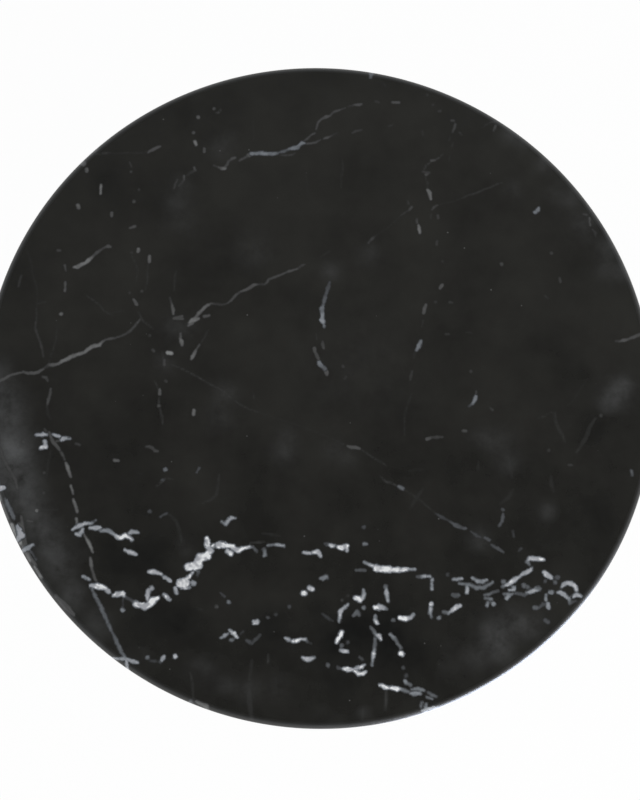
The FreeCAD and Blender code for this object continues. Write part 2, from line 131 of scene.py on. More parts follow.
# Veins of white calcite in the polished face. Each has its width in millimetres, its strength in percent and
# then the corners of its line, x and y in turn, in millimetres from the middle of the top.
BRIGHT_VEINS = (    # cloudy vein across the back
    (4.4, 62, -64, 214.8, -57, 215.5), (4.4, 70, -57, 215.5, -50, 215),
    (3.2, 60, -50, 215, -45, 215, -40, 216), (2.4, 50, -40, 216, -35, 217.5, -30, 219.5),
    (3.6, 62, -30, 219.5, -25, 221, -22, 221.5, -20, 224), (2.8, 62, -20, 224, -18, 226, -16, 225.5),
    # vein by the middle
    (2.6, 38, 7.5, 95, 6, 90, 5, 86), (2.8, 45, 5, 86, 3, 80, 1.5, 74),
    (3.4, 62, 1.5, 74, 0.5, 70, 1, 65), (4.2, 78, 1, 65, 0.5, 60, 2, 57),
    (2.2, 60, 2, 57, 2.5, 53.5), (4.2, 62, -2, 21, 0, 18), (3.8, 50, 0, 18, 3, 15),
    # short flecks on the right
    (3.2, 60, 89.5, 41.5, 88, 38, 85.5, 33), (3.4, 66, 138, -9, 137, -12, 135, -15.5),
    (1.8, 30, 135, -15.5, 131.5, -18), (3.4, 62, 195, 162.5, 198, 165, 199, 166.5),
    # flecks at the left
    (3.4, 95, -251, -46.5, -245, -46, -242, -46), (3.2, 85, -236, -46, -231, -47.5),
    (3, 90, -229, -51, -227, -49, -221.5, -49.5), (3.8, 95, -247, -58, -243, -56.5, -243.5, -52),
    # crossing at the left end of the bright belt
    (2.8, 90, -217, -129.5, -212, -126, -207, -124.5, -201, -124), (1.8, 50, -201, -124, -197, -121),
    (3.2, 85, -214, -133.5, -211, -134, -209, -131.5, -208, -129),
    (3.2, 88, -202, -128, -197, -128, -193, -127.5),
    (2.8, 75, -193, -131, -190, -130, -186, -130, -183, -132, -180, -134),
    (3.4, 100, -180, -134, -178, -136, -175, -136.5, -171, -134.5, -168, -136, -165, -138.5),
    (3.2, 85, -168, -133, -165, -131, -160, -132), (3.2, 90, -171, -147, -167, -149, -161.5, -150.8),
    (3.6, 95, -150, -165.6, -146, -166, -139.5, -168), (3.6, 90, -136.5, -170.5, -131.5, -173.5),
    # scattered flecks over the belt
    (3, 55, -137.3, -76.3), (2.3, 40, -110, -79, -107.5, -75), (2.3, 35, -139.6, -85.5),
    (2.8, 33, -141, -118, -135.6, -114.6), (2.8, 35, -150, -113),
    (2.6, 80, -87.5, -122, -84, -124, -81, -120, -79, -118.5, -76, -119), (2.8, 35, 37.3, -126),
    (3.2, 50, 68, -90, 72, -92), (2.6, 35, 160.6, -110),
    (2.4, 42, 160.5, -114, 159.4, -120, 157, -124.5), (2.3, 25, 169, -129, 169.3, -134),
    # broken line that runs down to the right
    (2, 27, 101, -114, 106, -117, 111, -119.5),
    (2.6, 42, 113, -121, 118, -124, 121, -125.5, 127, -127),
    (2.1, 30, 132, -130, 136, -133, 140, -134.5), (2.4, 42, 144, -135, 148, -137),
    (2.1, 40, 149.5, -141.5, 155, -144.5, 160, -147.5), (2.1, 30, 176, -144.5, 173.5, -147),
    # largest patch of the belt
    (8.8, 100, -122, -176, -118.5, -175.5), (3, 100, -118, -172, -115, -170, -112, -166),
    (7.5, 100, -116, -161.5, -112, -161), (8.2, 100, -111, -161, -107.5, -160),
    (7.8, 94, -107.5, -157, -106, -153), (7.6, 100, -104, -153, -100, -152),
    (6, 100, -100, -150.5, -97, -147.5), (4.9, 100, -97, -147.5, -99.4, -142.5, -100, -136.5),
    (2.8, 100, -96, -143.5, -93.8, -142.5), (6.2, 100, -90, -142.5, -86, -142.5),
    (5.6, 100, -86, -142.5, -77.5, -143.8), (4.4, 100, -82, -148, -79, -150),
    (4.4, 100, -77.5, -144.5, -72.5, -147, -67.5, -145), (3.2, 100, -67.5, -145, -63, -144),
    (3.4, 75, -112, -175.5, -110.6, -175.8), (2.2, 35, -108, -169, -107, -166),
    # flecks between the largest patch and the lens
    (2.8, 50, -60, -144, -57, -147.5), (2.8, 45, -50.5, -146, -49.5, -148),
    (3.2, 65, -49.5, -148, -49.6, -151.5), (3, 65, -47, -142.3, -40, -142),
    (3.2, 95, -40, -142, -33, -142.8), (3.4, 90, -15.5, -148.5, -10, -149.3),
    (4.2, 95, -7.5, -148.5, -3.5, -148, -0.5, -151.5), (2.6, 30, 3.5, -141, 5, -141.5),
    (3.2, 95, 7, -142, 8.75, -142.5, 11, -142.5),
    (3.8, 100, 14, -144, 18, -144.4, 22, -143, 22.5, -147), (2.8, 65, 37.4, -141, 39.4, -141),
    (3.2, 70, -1, -171, 1, -171.3, 4, -170, 5, -171), (4.4, 95, -10, -179.4, -8, -180.5),
    (4.6, 100, -16, -184, -15, -184),
    # lens-shaped patch and its tail
    (3, 75, 37.5, -156.9, 42, -159), (3.2, 95, 42, -159, 46, -161),
    (6.2, 100, 48, -162, 52, -163), (7.2, 100, 52, -163, 60, -163),
    (5.8, 100, 60, -163.2, 68, -163.5), (4.5, 100, 68, -163.5, 75, -163),
    (2.8, 80, 75, -163, 82, -163), (2.8, 45, 30.6, -164, 38, -164),
    # right end of the belt
    (2.8, 45, 84, -169.5, 87, -169.5), (3.4, 85, 88, -169, 95, -169),
    (3.2, 80, 97, -171.5, 96.5, -180), (2.6, 30, 110.6, -167.5),
    (3.4, 85, 115.5, -171.7, 123, -171),
    (2.6, 60, 121, -175, 130, -176.5, 136, -179, 143, -178.5, 150, -174),
    (2.8, 75, 132, -170.5, 137, -173, 141, -173.5, 144.5, -172), (3.2, 55, 159.6, -173.5),
    (2.8, 50, 159, -178), (3.4, 95, 161, -177, 165, -175, 170, -171.5, 174, -169),
    (3.2, 90, 174, -169, 178, -166, 183, -163.5, 185, -161.5), (3.6, 85, 127.5, -178.3, 127.5, -183),
    (3.4, 75, 168.8, -178.8), (3.4, 50, 177.5, -177),
    (3.4, 97, 181, -155, 183.7, -153, 190, -153.5, 196, -154),
    (2.4, 50, 182, -153, 180.5, -156, 183, -159), (4.4, 92, 196, -165, 198, -167.5, 202, -170),
    (2.6, 35, 196.5, -173), (3.4, 40, 207.5, -169.7), (3.2, 45, 205, -174),
    (3.4, 90, 211, -178, 213, -175.8, 216, -174.4, 220, -175, 223, -177.5, 224, -181),
    (2.8, 50, 181, -178), (4.2, 50, 189, -179.4, 191, -179.4),
    (3.4, 45, 115, -185, 117, -186, 120, -185.5), (2.4, 50, 143, -185, 146, -185, 149, -184),
    (2.8, 60, 143, -188, 149, -188.5), (2.4, 45, 149, -183, 155, -181.5),
    (2.8, 65, 145.5, -192, 145, -194.5), (3.2, 75, 150.5, -193),
    (2.4, 60, 160, -184, 165, -185, 168, -184), (3.6, 75, 162.5, -188, 164, -186),
    (2.8, 90, 165, -181, 169, -180.5), (2.4, 40, 170, -184, 178, -185, 180, -184),
    (3.2, 90, 180, -183, 185, -181.5, 190, -180.5), (2.8, 75, 197, -185, 196.5, -190),
    (3.6, 80, 198, -193, 199, -196), (3.2, 50, 186, -196, 189, -196),
    (2.6, 40, 191, -196, 194, -193, 196, -193), (3.4, 65, 201, -182.5, 202, -182.5),
    (3.4, 80, 207.5, -183, 210, -183, 213, -185, 216, -187.5), (3.2, 60, 217.5, -188, 217.5, -192),
    (2.4, 30, 217.5, -192, 223, -190), (3.6, 90, 221, -186.5, 224, -185, 227.5, -186),
    (3.4, 40, 196, -207, 198, -208.5), (2.6, 45, 276.3, -75, 276.8, -79),
    # left end of the lower belt
    (2.6, 85, -207, -170, -203, -172, -201, -173),
    (4.6, 100, -200, -178, -195, -178.5, -190, -179.5, -187, -180),
    (3.4, 95, -187, -181, -184, -183.5),
    (3.6, 100, -180.5, -186.5, -177, -185.5, -172, -184.5, -171, -187),
    (2, 30, -170, -188, -166, -190, -163, -192), (1.6, 25, -172, -190, -172, -195),
    (3.2, 75, -172, -199), (3.4, 80, -147.3, -180),
    # bowl-shaped patch
    (5.2, 100, -161, -193.5, -158, -194.5), (5.8, 100, -158, -194.5, -153, -196, -149, -194.5),
    (6.2, 100, -149, -194, -146, -191), (4.2, 100, -146, -191, -142, -188.5),
    (3.2, 90, -151, -190, -151, -186, -150, -182, -147.5, -180),
    (3.2, 95, -137, -185.5, -134, -188, -131.5, -190), (3.4, 90, -127, -180, -126, -184),
    (2.6, 90, -122, -180, -115, -180), (2.4, 30, -88, -184, -84, -187), (2.8, 60, -80.5, -192),
    # flecks under the belt
    (2.6, 75, -87, -222.5, -84, -221, -81, -219), (3.2, 98, -79.5, -216.5, -76, -219, -73, -222),
    (2.8, 60, -78, -224.5, -77, -224.5), (2, 30, -70, -219, -68, -217),
    (2.4, 35, -65, -224.5, -62, -226.5, -60, -227.5), (4.2, 95, -58, -209.5, -56, -209),
    (2.4, 35, -46.5, -205), (2.4, 30, -39.5, -202.5), (2.8, 35, -28, -196),
    (1.8, 35, -60, -227, -57, -224, -53, -220), (2.8, 85, -31, -223, -28.5, -224),
    (3.2, 98, -25, -225.5, -22, -225, -18, -223.5), (2.8, 85, -18, -223.5, -14, -224),
    (2, 30, -12, -226, -9, -227.5), (3.4, 95, -16, -239.5, -12, -241, -8, -240, -6.5, -239.5),
    (1.8, 30, 1, -202, 5, -205, 10, -208), (2.8, 50, 5.5, -246), (2.6, 35, 14.5, -248),
    (2.4, 30, 23, -226),
    # broken ring at the lower right of the middle
    (2.8, 80, 23, -194, 21, -195.5, 18, -197.5), (3.4, 95, 18, -197.5, 16.5, -200, 16, -204),
    (3, 80, 16, -204, 15.5, -208), (4.8, 100, 30, -188, 34, -190),
    (2.8, 85, 34, -190, 36, -189, 37, -185, 36.5, -181), (2.8, 60, 37, -196.5),
    (3.4, 50, 28, -203, 31, -200, 33, -203), (4.2, 100, 17.5, -217.5, 16.5, -220.5),
    (3.2, 100, 16.5, -220.5, 14, -224, 13, -226.5), (2.3, 45, 17.5, -229),
    (3, 90, 16.5, -233, 20, -234, 23, -234), (4, 100, 19, -249, 23, -249.5, 27, -249.5),
    (2.8, 100, 27, -249.5, 29, -251, 32, -253.5, 36, -253, 38.5, -251.5),
    (2.6, 95, 27, -249.5, 31, -248.5, 35, -247, 37.5, -245.5), (2.4, 35, 33, -239, 35.5, -241),
    (2.8, 50, 56.2, -178.3), (3, 85, 57, -180, 56.5, -184, 57.5, -187, 58, -190.5),
    (5, 100, 47, -196, 50, -196, 54, -196.5), (2.6, 50, 54, -196.5, 57, -197.5),
    (2.8, 65, 47, -203.5, 46.5, -207), (3.2, 97, 46.5, -207, 48.5, -210),
    (2.4, 50, 43, -213, 45, -216, 47.5, -220), (3.2, 95, 47.5, -220, 50, -221, 52, -224),
    (2.6, 50, 46.5, -223, 46.3, -228, 46, -233), (3, 95, 46, -233, 45.5, -236, 44.5, -241),
    (2.6, 65, 44.5, -241, 44, -246),
    # chain that leaves over the near edge
    (2.8, 50, 62.5, -207), (4.2, 100, 68, -205, 73, -206, 78, -205),
    (3.4, 75, 78, -205, 80, -202.5), (3.6, 95, 96, -193), (3.4, 90, 95.5, -197, 95, -201),
    (2.8, 60, 95, -201, 96, -204), (3.2, 60, 102.5, -205), (2.6, 50, 106, -200, 111, -200.5),
    (3.4, 90, 111, -200.5, 115, -198), (3.8, 97, 115, -198, 118, -195.5, 121, -194.5),
    (2.8, 75, 60, -219.5, 63, -222), (2.5, 55, 63, -222, 66, -227, 69, -231),
    (4.4, 100, 69.5, -236), (2.6, 35, 71, -248), (2.6, 30, 73.5, -254.5),
    (2.8, 75, 72.5, -259, 73.5, -261), (2.6, 50, 73.5, -261, 77, -262.5),
    (3.2, 100, 50, -262.5, 55, -264.5, 60, -265.5), (4, 100, 60, -265, 65, -266, 68, -266),
    (3, 55, 68, -266, 71, -267, 75, -268.5), (3, 75, 77, -269.5, 80, -270, 86, -269.5),
    (2.6, 65, 78, -266.5, 83, -266, 89, -267.5), (2.6, 50, 92, -269, 95, -271, 99, -272.5),
    (2.6, 70, 91, -273, 96, -274.5), (2.6, 60, 86.5, -278, 86.5, -281),
    (2.8, 70, 90.5, -279, 90, -283, 92, -292, 93, -305), (4.5, 80, 88, -284, 99, -282),
    # long thin vein down the left to the near edge
    (2.6, 50, -199, -181, -197, -185, -193, -192, -190, -198, -186, -207, -183, -213, -180, -219),
    (2.6, 54, -180, -219, -177, -225, -174, -232, -171, -237, -169, -239.5),
    (3.2, 95, -183, -241, -176, -241), (3, 80, -176, -241, -170, -240, -167, -241),
    (2.8, 85, -167, -241, -162, -243, -158, -244),
    (2.8, 85, -168, -242, -167.5, -246, -168, -254, -172, -266), (3.2, 55, -150, -239.5),
    (2, 25, -148, -242, -143, -242.5, -139, -243.5),
    (2.8, 85, -138, -242, -136.5, -240, -135.5, -238.5), (3.6, 95, -126, -238.5),
    # white patches on the left edge
    (5.6, 92, -278, -93, -284, -95, -292, -98), (3.4, 50, -276, -103, -272, -112, -268, -120),
    (5.4, 86, -265, -127, -261, -135, -266, -139), (3.8, 80, -251, -143, -256, -146, -262, -150),
    (2.4, 42, -252, -149, -248, -156), (3.6, 50, -112, -276, -114, -281, -116, -290),
    (5, 55, 45.5, 291, 47, 297, 50, 312),
)
SOFT_VEINS = (    # grey patches that hug the left edge
    (7, 62, -288, -84, -286, -90), (6, 70, -285, -93, -281, -104), (4.5, 50, -279, -108, -274, -120),
    (7, 88, -270, -126, -262, -141), (6, 80, -259, -146, -253, -156), (4, 75, -249, -162, -243, -171),
    # branches of the cloudy vein across the back
    (1.6, 35, -38, 214, -33, 213.5, -28, 214, -24, 216),
    (1.6, 45, -17, 227, -13, 230, -10, 233, -6, 235.5), (1.6, 45, -5, 239, -4, 243, -3, 246, 0, 249),
    (2.8, 50, 0, 249, 4, 251, 8, 252.5), (1.6, 45, 8, 252.5, 11, 256, 15, 257.5, 22, 260),
    (2.8, 25, 25, 261.5, 29, 262.5), (2.4, 50, 30, 263, 35, 263.5, 37, 264),
    (2.8, 30, 50, 267, 53, 266), (1.5, 42, -16, 225.3, -10, 225.5, -5, 226.5, -1, 229),
    (1.9, 50, 2, 230, 5, 231, 8, 232.5), (1.2, 25, 8, 232.5, 12, 234.5, 15, 236),
    (2.1, 35, 28, 236, 32, 238, 37, 239), (3.6, 70, -64, 214.8, -66, 213.5),
    (2.4, 42, -66, 213.5, -70, 211, -75, 208), (2.8, 50, -79, 211, -82, 209.7),
    (2.2, 40, -82, 209.7, -85, 207, -86, 204, -88, 202), (3.4, 70, -88, 200.7, -91, 200.3),
    (2.4, 50, -91, 200.5, -94, 201.5), (2.1, 32, -94, 201.5, -98, 203),
    # specks at the back left
    (2.4, 45, -98.5, 257.5), (2.8, 60, -113, 249), (2.4, 45, -117, 234),
    (2.8, 75, -115.5, 225.5, -114.5, 222.5), (2.4, 50, -107, 219, -107, 216),
    (2.2, 50, -158, 214.5, -154, 217, -150, 219.5, -147, 220.5),
    (1.9, 35, -174.5, 205, -173, 202, -172.5, 200), (2.2, 40, -173, 196),
    (2.8, 45, -116, 201, -115, 198), (2.8, 25, -115, 198, -119, 196, -122, 193.5),
    (2.4, 50, -125, 192.5, -125, 189.5), (2, 30, -125, 189.5, -127, 186, -130, 183),
    (2.1, 35, -131, 189, -133, 184, -134, 181), (2.8, 60, -213, 198, -213, 196),
    # specks at the back right
    (3.2, 50, 65.5, 266, 71.5, 266), (2.4, 30, 98, 274), (2.4, 30, 103, 264.5),
    (2.4, 30, 108, 258, 110, 258.5), (2.1, 40, 120, 249.5, 122, 249.5),
    (2.2, 40, 123.5, 246, 122.5, 242, 120.5, 238), (2, 25, 118.5, 234, 117.5, 230),
    (2, 25, 121, 228, 120, 224), (2.2, 25, 93, 239, 93.5, 235),
    (2.4, 45, 100.5, 210.5, 104, 211), (3.4, 30, 93, 200, 99, 199),
    (2.8, 45, 97.5, 198.5, 96, 197), (3.2, 75, 97, 182.5, 99, 180, 100, 174),
    (2.4, 40, 158.5, 240, 160, 243, 161, 246), (2, 30, 155, 248, 159, 249, 162, 249.5),
    (1.3, 27, 128, 175, 134, 178, 141, 180, 148, 183.5, 155, 186, 162, 189.5, 166, 190.5),
    # specks down the left
    (2.5, 80, -200, 183, -200, 175), (3.2, 65, -220.5, 164, -219.5, 161.5),
    (2.5, 55, -189.5, 157, -189.5, 154), (3.2, 75, -222, 106, -219, 106.5, -215, 109, -212, 110),
    (3.2, 80, -212, 110, -209, 113, -206, 116), (2.2, 42, -206, 116, -203, 119, -199, 122, -195, 125),
    (2.7, 50, -195, 125, -192, 126, -190, 125.5), (2.3, 35, -237, 121.5, -235, 121.5),
    (2.4, 45, -230.5, 108, -229.5, 103), (2.8, 55, -229.5, 92, -229.5, 84), (2.8, 70, -232.5, 63),
    (2, 30, -268.5, 98, -270, 93, -271, 88),
    (1.3, 18, -265, 122, -262, 115, -260, 108, -259, 100, -257, 94, -255, 88, -254, 82, -254, 70),
    (2, 27, -254.5, 68, -254, 62), (2.3, 30, -165.5, 179), (2.6, 45, -170, 168),
    (2.4, 50, -173, 143, -169, 144.5, -168, 145), (2.8, 65, -165, 123.5, -165, 121.5),
    (2.3, 30, -171, 120), (3.2, 65, -155, 117, -155, 112), (2.3, 35, -161, 84.5),
    (2.3, 30, -172, 83), (2.8, 55, -168, 77, -166, 73, -165, 72), (2.1, 30, -136, 79, -134, 73),
    (2.4, 65, -134, 73, -133, 68, -132.5, 64),
    # vein from the left to the middle
    (2.4, 65, -115, 60, -113, 61, -110, 65, -106, 69, -102, 72.5, -99, 74),
    (1.8, 32, -99, 74, -95, 73.5, -90, 73, -85, 74), (1.9, 42, -85, 74, -81, 77, -77, 82, -72, 85.5),
    (2.2, 52, -72, 85.5, -66, 88, -61, 91.5, -57, 92), (1.8, 28, -57, 92, -54, 92.5, -51, 92),
    (1.8, 42, -51, 92, -50, 93, -47, 97, -42, 99, -37, 101, -33, 103),
    (1.9, 52, -33, 103, -29, 104.5, -22, 107), (1.8, 36, -22, 107, -18, 110, -15, 111.5),
    (3.2, 50, -105, 62, -101, 63), (3.2, 50, -132, 60, -125, 62),
    (1.3, 20, -1, 118.5, 3, 121, 6, 123, 8, 124),
    # specks on the right
    (2.3, 35, 42.5, 132, 46, 136, 48, 137.5), (1.3, 16, 48, 137.5, 52, 141, 57, 144, 60, 146),
    (2.1, 30, 79, 172, 79.5, 169.5), (2.7, 45, 82.5, 166, 80, 163.5),
    (1.6, 28, 80, 163.5, 76, 161, 72, 158), (2.3, 40, 106, 168.5, 103, 166.5, 101, 164),
    (2.1, 25, 100, 159, 99.5, 156), (2.5, 35, 106, 158.5, 106.5, 156),
    (2.5, 40, 87, 154.5, 87, 152), (2.9, 75, 88.5, 149, 89, 146, 89.5, 142),
    (2.7, 35, 105, 134, 105, 131), (2.4, 25, 110, 115.5), (2.9, 55, 109.5, 93.5, 107, 90),
    (2.8, 55, 94.5, 75, 93, 71, 92, 67), (2.6, 30, 103, 77.5), (2.6, 30, 116, 77.5, 118, 77),
    (3.1, 40, 163.5, 113.5), (2.6, 35, 209.5, 124.5), (2.5, 35, 216.5, 101, 217, 97.5),
    (2.3, 25, 203, 84, 205, 82), (2.3, 35, 240, 161.5, 243, 161),
    (3.6, 30, 243, 178, 245, 170, 247, 165), (2.1, 50, 245.5, 158, 246, 151),
    (2, 30, 248, 147, 250.5, 144, 250.5, 141),
    # long vein that comes in over the left edge
    (2, 50, -306, -7, -290, -1, -284, 2, -280, 4.5, -275, 7, -270, 8.5, -264, 10),
    (2.3, 53, -264, 10, -260, 8.8, -255, 9, -251, 10, -248, 12, -246, 13.5),
    (2.4, 28, -246, 13.5, -243, 16, -242, 17.5), (2.8, 60, -242, 16.5, -238, 16.5, -234, 17.5),
    (2.9, 70, -234, 17.5, -230, 20, -226, 22, -221, 25, -216, 26.5, -211, 28),
    (2.9, 72, -211, 28, -208, 31, -204, 33.5, -198, 35, -195, 38),
    (1.8, 42, -195, 38, -192, 40, -188, 41, -184, 41.5, -180, 43),
    (1.9, 40, -180, 43, -175, 45, -171, 48, -168, 51, -165, 55, -162, 59),
    (1.9, 30, -254, 60, -255, 50, -253, 44, -250, 37, -248, 30, -247, 24),
    (2.7, 40, -247, 6, -244, 5, -242.5, 2),
    (2.2, 42, -239.5, -5, -240, -10, -241.5, -15, -242.5, -21),
    (2.4, 18, -242.5, -21, -241.5, -27, -239, -32), (2.3, 50, -233, -51.5, -228, -51.5),
    (2.2, 35, -244, -41, -243, -43), (2.4, 50, -240, -44, -238, -48, -236, -53, -232, -57, -230, -60),
    (2.4, 35, -216, -54, -213, -55), (2.6, 40, -262, -52.5),
    # specks left of the middle
    (2.8, 42, -132, 60, -127, 60, -124, 59.5), (4, 75, -118, 56, -115, 58.5, -110, 60),
    (2.8, 60, -119, 53.5, -115, 56), (1.5, 22, -101, 50, -104, 44, -107, 39),
    (2.6, 45, -109, 36, -112, 31), (2.8, 72, -112, 31, -115, 25, -116, 23),
    (2.8, 50, -126, 46, -126, 42), (3.4, 68, -126, 42, -125, 38.5, -124.5, 36),
    (3.6, 95, -137, 28.5, -134, 28), (2.6, 35, -150.5, 31, -149.5, 30), (2.6, 30, -153.5, 44),
    (2.7, 40, -140, 22, -140, 17), (2.3, 35, -139, 3, -138, 2.5),
    (3, 60, -143.5, -5, -143.5, -9), (2.7, 45, -144, -19.5), (3, 72, -113, -23, -113.5, -27),
    (2.5, 40, -154.5, -56, -152, -56, -149, -57, -147, -59.5, -144, -60),
    (2.6, 60, -182, -68.5, -179, -68.7),
    # specks below the middle vein
    (2.7, 40, 1, 40, 1, 37, 2, 34), (3.2, 50, -6.5, 34, -6, 31),
    (2.7, 45, -6, 31, -4, 27, -3, 25, -2, 21), (3.4, 55, 3, 15, 4.5, 12, 5, 10),
    (2.6, 35, 19.5, 17.5), (2.3, 25, 22, 8, 21, 6.5),
    (2.7, 50, 23, -54.5, 26, -55.5, 30, -55.5, 34, -56.5), (2.3, 25, 91.5, 60, 90.5, 55),
    (2.7, 18, 85.5, 33, 84, 30, 83, 26), (2.3, 30, 112, 48, 115, 48), (2.6, 30, 134, 14),
    (2.5, 30, 81.5, 14, 80, 9, 79.5, 6), (2, 35, 138.5, -4, 138.5, -8),
    (2.3, 30, 151, -19, 153, -21), (2.7, 40, 126, -40, 129, -40), (3.1, 50, 94, -47.5, 97, -46.5),
    (2.5, 34, 97, -46.5, 102, -46, 108, -45.5),
    # short vein at the right edge
    (2.6, 30, 266, 43, 270, 43), (2.8, 55, 270, 43, 274, 44, 278, 45),
    (2.7, 45, 278, 45, 282, 47, 290, 50, 306, 56), (2.3, 35, 250.5, -25),
    (3, 22, 245, -28, 240, -36, 236, -46, 230, -55, 227.5, -58.5),
    (1.6, 14, 239, 8, 232, -2, 226, -12, 221, -16), (2.7, 30, 202.5, -57),
    # long thin vein down the left
    (2.2, 40, -230, -60, -228, -63, -225.5, -68), (2.5, 70, -224.5, -71, -222.5, -76, -220, -83),
    (2.5, 70, -219.5, -91, -217.5, -98), (2.5, 70, -217, -103, -214.5, -110, -213.5, -114),
    (2.7, 75, -214, -120, -213, -125), (2.3, 65, -208, -132, -205, -137),
    (2.4, 80, -205, -137, -202, -142, -199, -149), (2.3, 65, -201, -154, -200, -160, -199, -165),
    (2.2, 45, -199, -165, -197, -171, -195.5, -174), (2.6, 70, -248.5, -113),
    (2.3, 45, -256, -122, -252, -122.5), (2.5, 35, -243, -80), (2.3, 30, -243, -97.5),
    (2.7, 60, -264, -125, -261, -126.5),
    (2.2, 40, -282, -58, -279, -68, -274, -76, -268, -86, -266, -94),
    # soft grey places on the edge
    (5, 60, -218, 205, -216, 203), (5, 45, -210, 213, -204, 218),
    (4.5, 50, -230, -187, -220, -197, -214, -203), (4, 60, -107, -277, -99, -281, -98, -290),
    (3.2, 50, -262, -118, -256, -150, -248, -160),
)
FAINT_LINES = (    # long straight seam from the left to the right end of the belt
    (1.4, 30, -134, 18, -126, 15, -118, 11, -110, 7, -102, 2, -88, -5, -80, -12),
    (1.4, 26, -80, -12, -72, -18, -64, -22, -52, -26),
    (1.2, 17, -52, -26, -36, -31, -18, -37, 0, -44, 14, -50), (1.6, 28, 14, -50, 20, -53),
    (1.4, 27, 36, -58, 42, -62, 48, -66, 54, -69, 58, -72),
    (1.6, 33, 52, -81, 57, -86, 62, -87, 67, -90),
    (1.3, 25, 73, -93, 80, -97, 88, -103, 95, -109, 101, -114),
    # left
    (1.6, 32, -205, 212, -197, 213.5, -190, 213),
    (1.5, 22, -190, 213, -175, 214, -165, 214, -158, 215.5),
    (1.5, 24, -172, 120, -168, 112, -165, 104, -166, 94),
    (1.5, 24, -155, 112, -157, 104, -156, 96, -158, 86), (2.2, 24, -131, 104, -132, 96, -132, 86),
    (2, 38, -97, 253, -94, 254, -92, 257), (1.6, 22, -254, 72, -250, 73, -246, 74),
    (1.5, 24, -235, 52, -236, 42, -238, 32, -242, 20),
    (1.4, 28, -212, 82, -206, 77, -200, 73, -194, 66, -187, 62),
    (1.4, 20, -192, 64, -184, 65, -176, 67), (1.6, 28, -164, 66, -160, 58, -154, 53, -150, 50),
    (2, 24, -142, 30, -141, 24, -140, 14), (1.8, 30, -148, 3, -145, -4),
    (1.8, 34, -144, -12, -144, -17), (2, 30, -143, -22, -141, -30, -140, -36),
    (2.4, 20, -238, -60, -240, -72, -241, -84), (2.2, 30, -145, -91, -140, -87, -137, -84),
    (2.2, 28, -135, -84, -131, -85), (2, 22, -163, -79, -158, -80),
    (1.4, 24, -248, -113, -240, -113, -230, -112), (2.2, 30, -226, -150, -221, -152),
    (2.6, 22, -133, -116, -127, -122, -124, -130, -122, -140),
    (2.4, 22, -105, -106, -97, -103, -92, -98, -91, -90, -90, -80),
    # middle
    (1.5, 18, -62, 250, -63, 240, -62, 228), (1.5, 25, 19, 210, 19.5, 203, 18.5, 195, 18, 184),
    (2, 16, -14, 198, -13, 188, -13, 176), (1.3, 18, 60, 146, 66, 152, 72, 158),
    (2, 24, 56, 286, 60, 281), (2.4, 30, 62, 243, 66, 245), (2.2, 24, -61, -7, -60, -12),
    (1.6, 28, -5, 48, -4, 42), (1.4, 22, 81, -6, 78, -14, 75, -22, 74, -32, 74, -44),
    (1.5, 22, 78, -76, 84, -75, 90, -75), (1.6, 24, -52, -132, -44, -133, -36, -134),
    (1.8, 32, -62, -140, -55, -140, -50, -139.5), (3.4, 18, 78, -110, 84, -100, 90, -92),
    # right
    (1.6, 26, 148, 243, 152, 246, 158, 249), (1.8, 32, 112, 217, 107, 213, 104, 211),
    (2.2, 30, 100, 209, 96, 206, 94, 202), (1.8, 26, 95, 195, 97, 190, 97, 184),
    (1.3, 20, 128, 175, 118, 171, 110, 170, 104, 167), (2.6, 30, 127, 238, 129, 236),
    (1.6, 22, 118, 217, 117, 210), (1.4, 24, 130, 50, 133, 50, 136, 49),
    (3, 18, 166, -62, 168, -72, 169, -82), (2.2, 28, 139, -67, 139, -75),
    (1.5, 24, 194, -28, 200, -26, 206, -22),
    (2.8, 22, 209, -22, 209, -30, 212, -38, 216, -44, 217, -50), (2.6, 30, 220, -70, 223, -70),
    (3, 20, 204, -80, 204, -88, 206, -94), (3.6, 18, 158, -105, 165, -100, 170, -92),
    # near edge
    (4.4, 20, -60, -242, -62, -258), (4.8, 22, -62, -266, -62, -276, -60, -292),
    (2, 26, -113, -252, -111, -262, -110, -274), (2.6, 30, -46, -237, -46, -244),
    (2.8, 30, 56, -266, 56, -274, 55, -284), (2.8, 26, 36, -283, 35, -292), (3.2, 42, -91, -196),
    (2, 24, -108, -197, -103, -199), (2.6, 34, 18, -190), (2.6, 30, 23, -186),
)
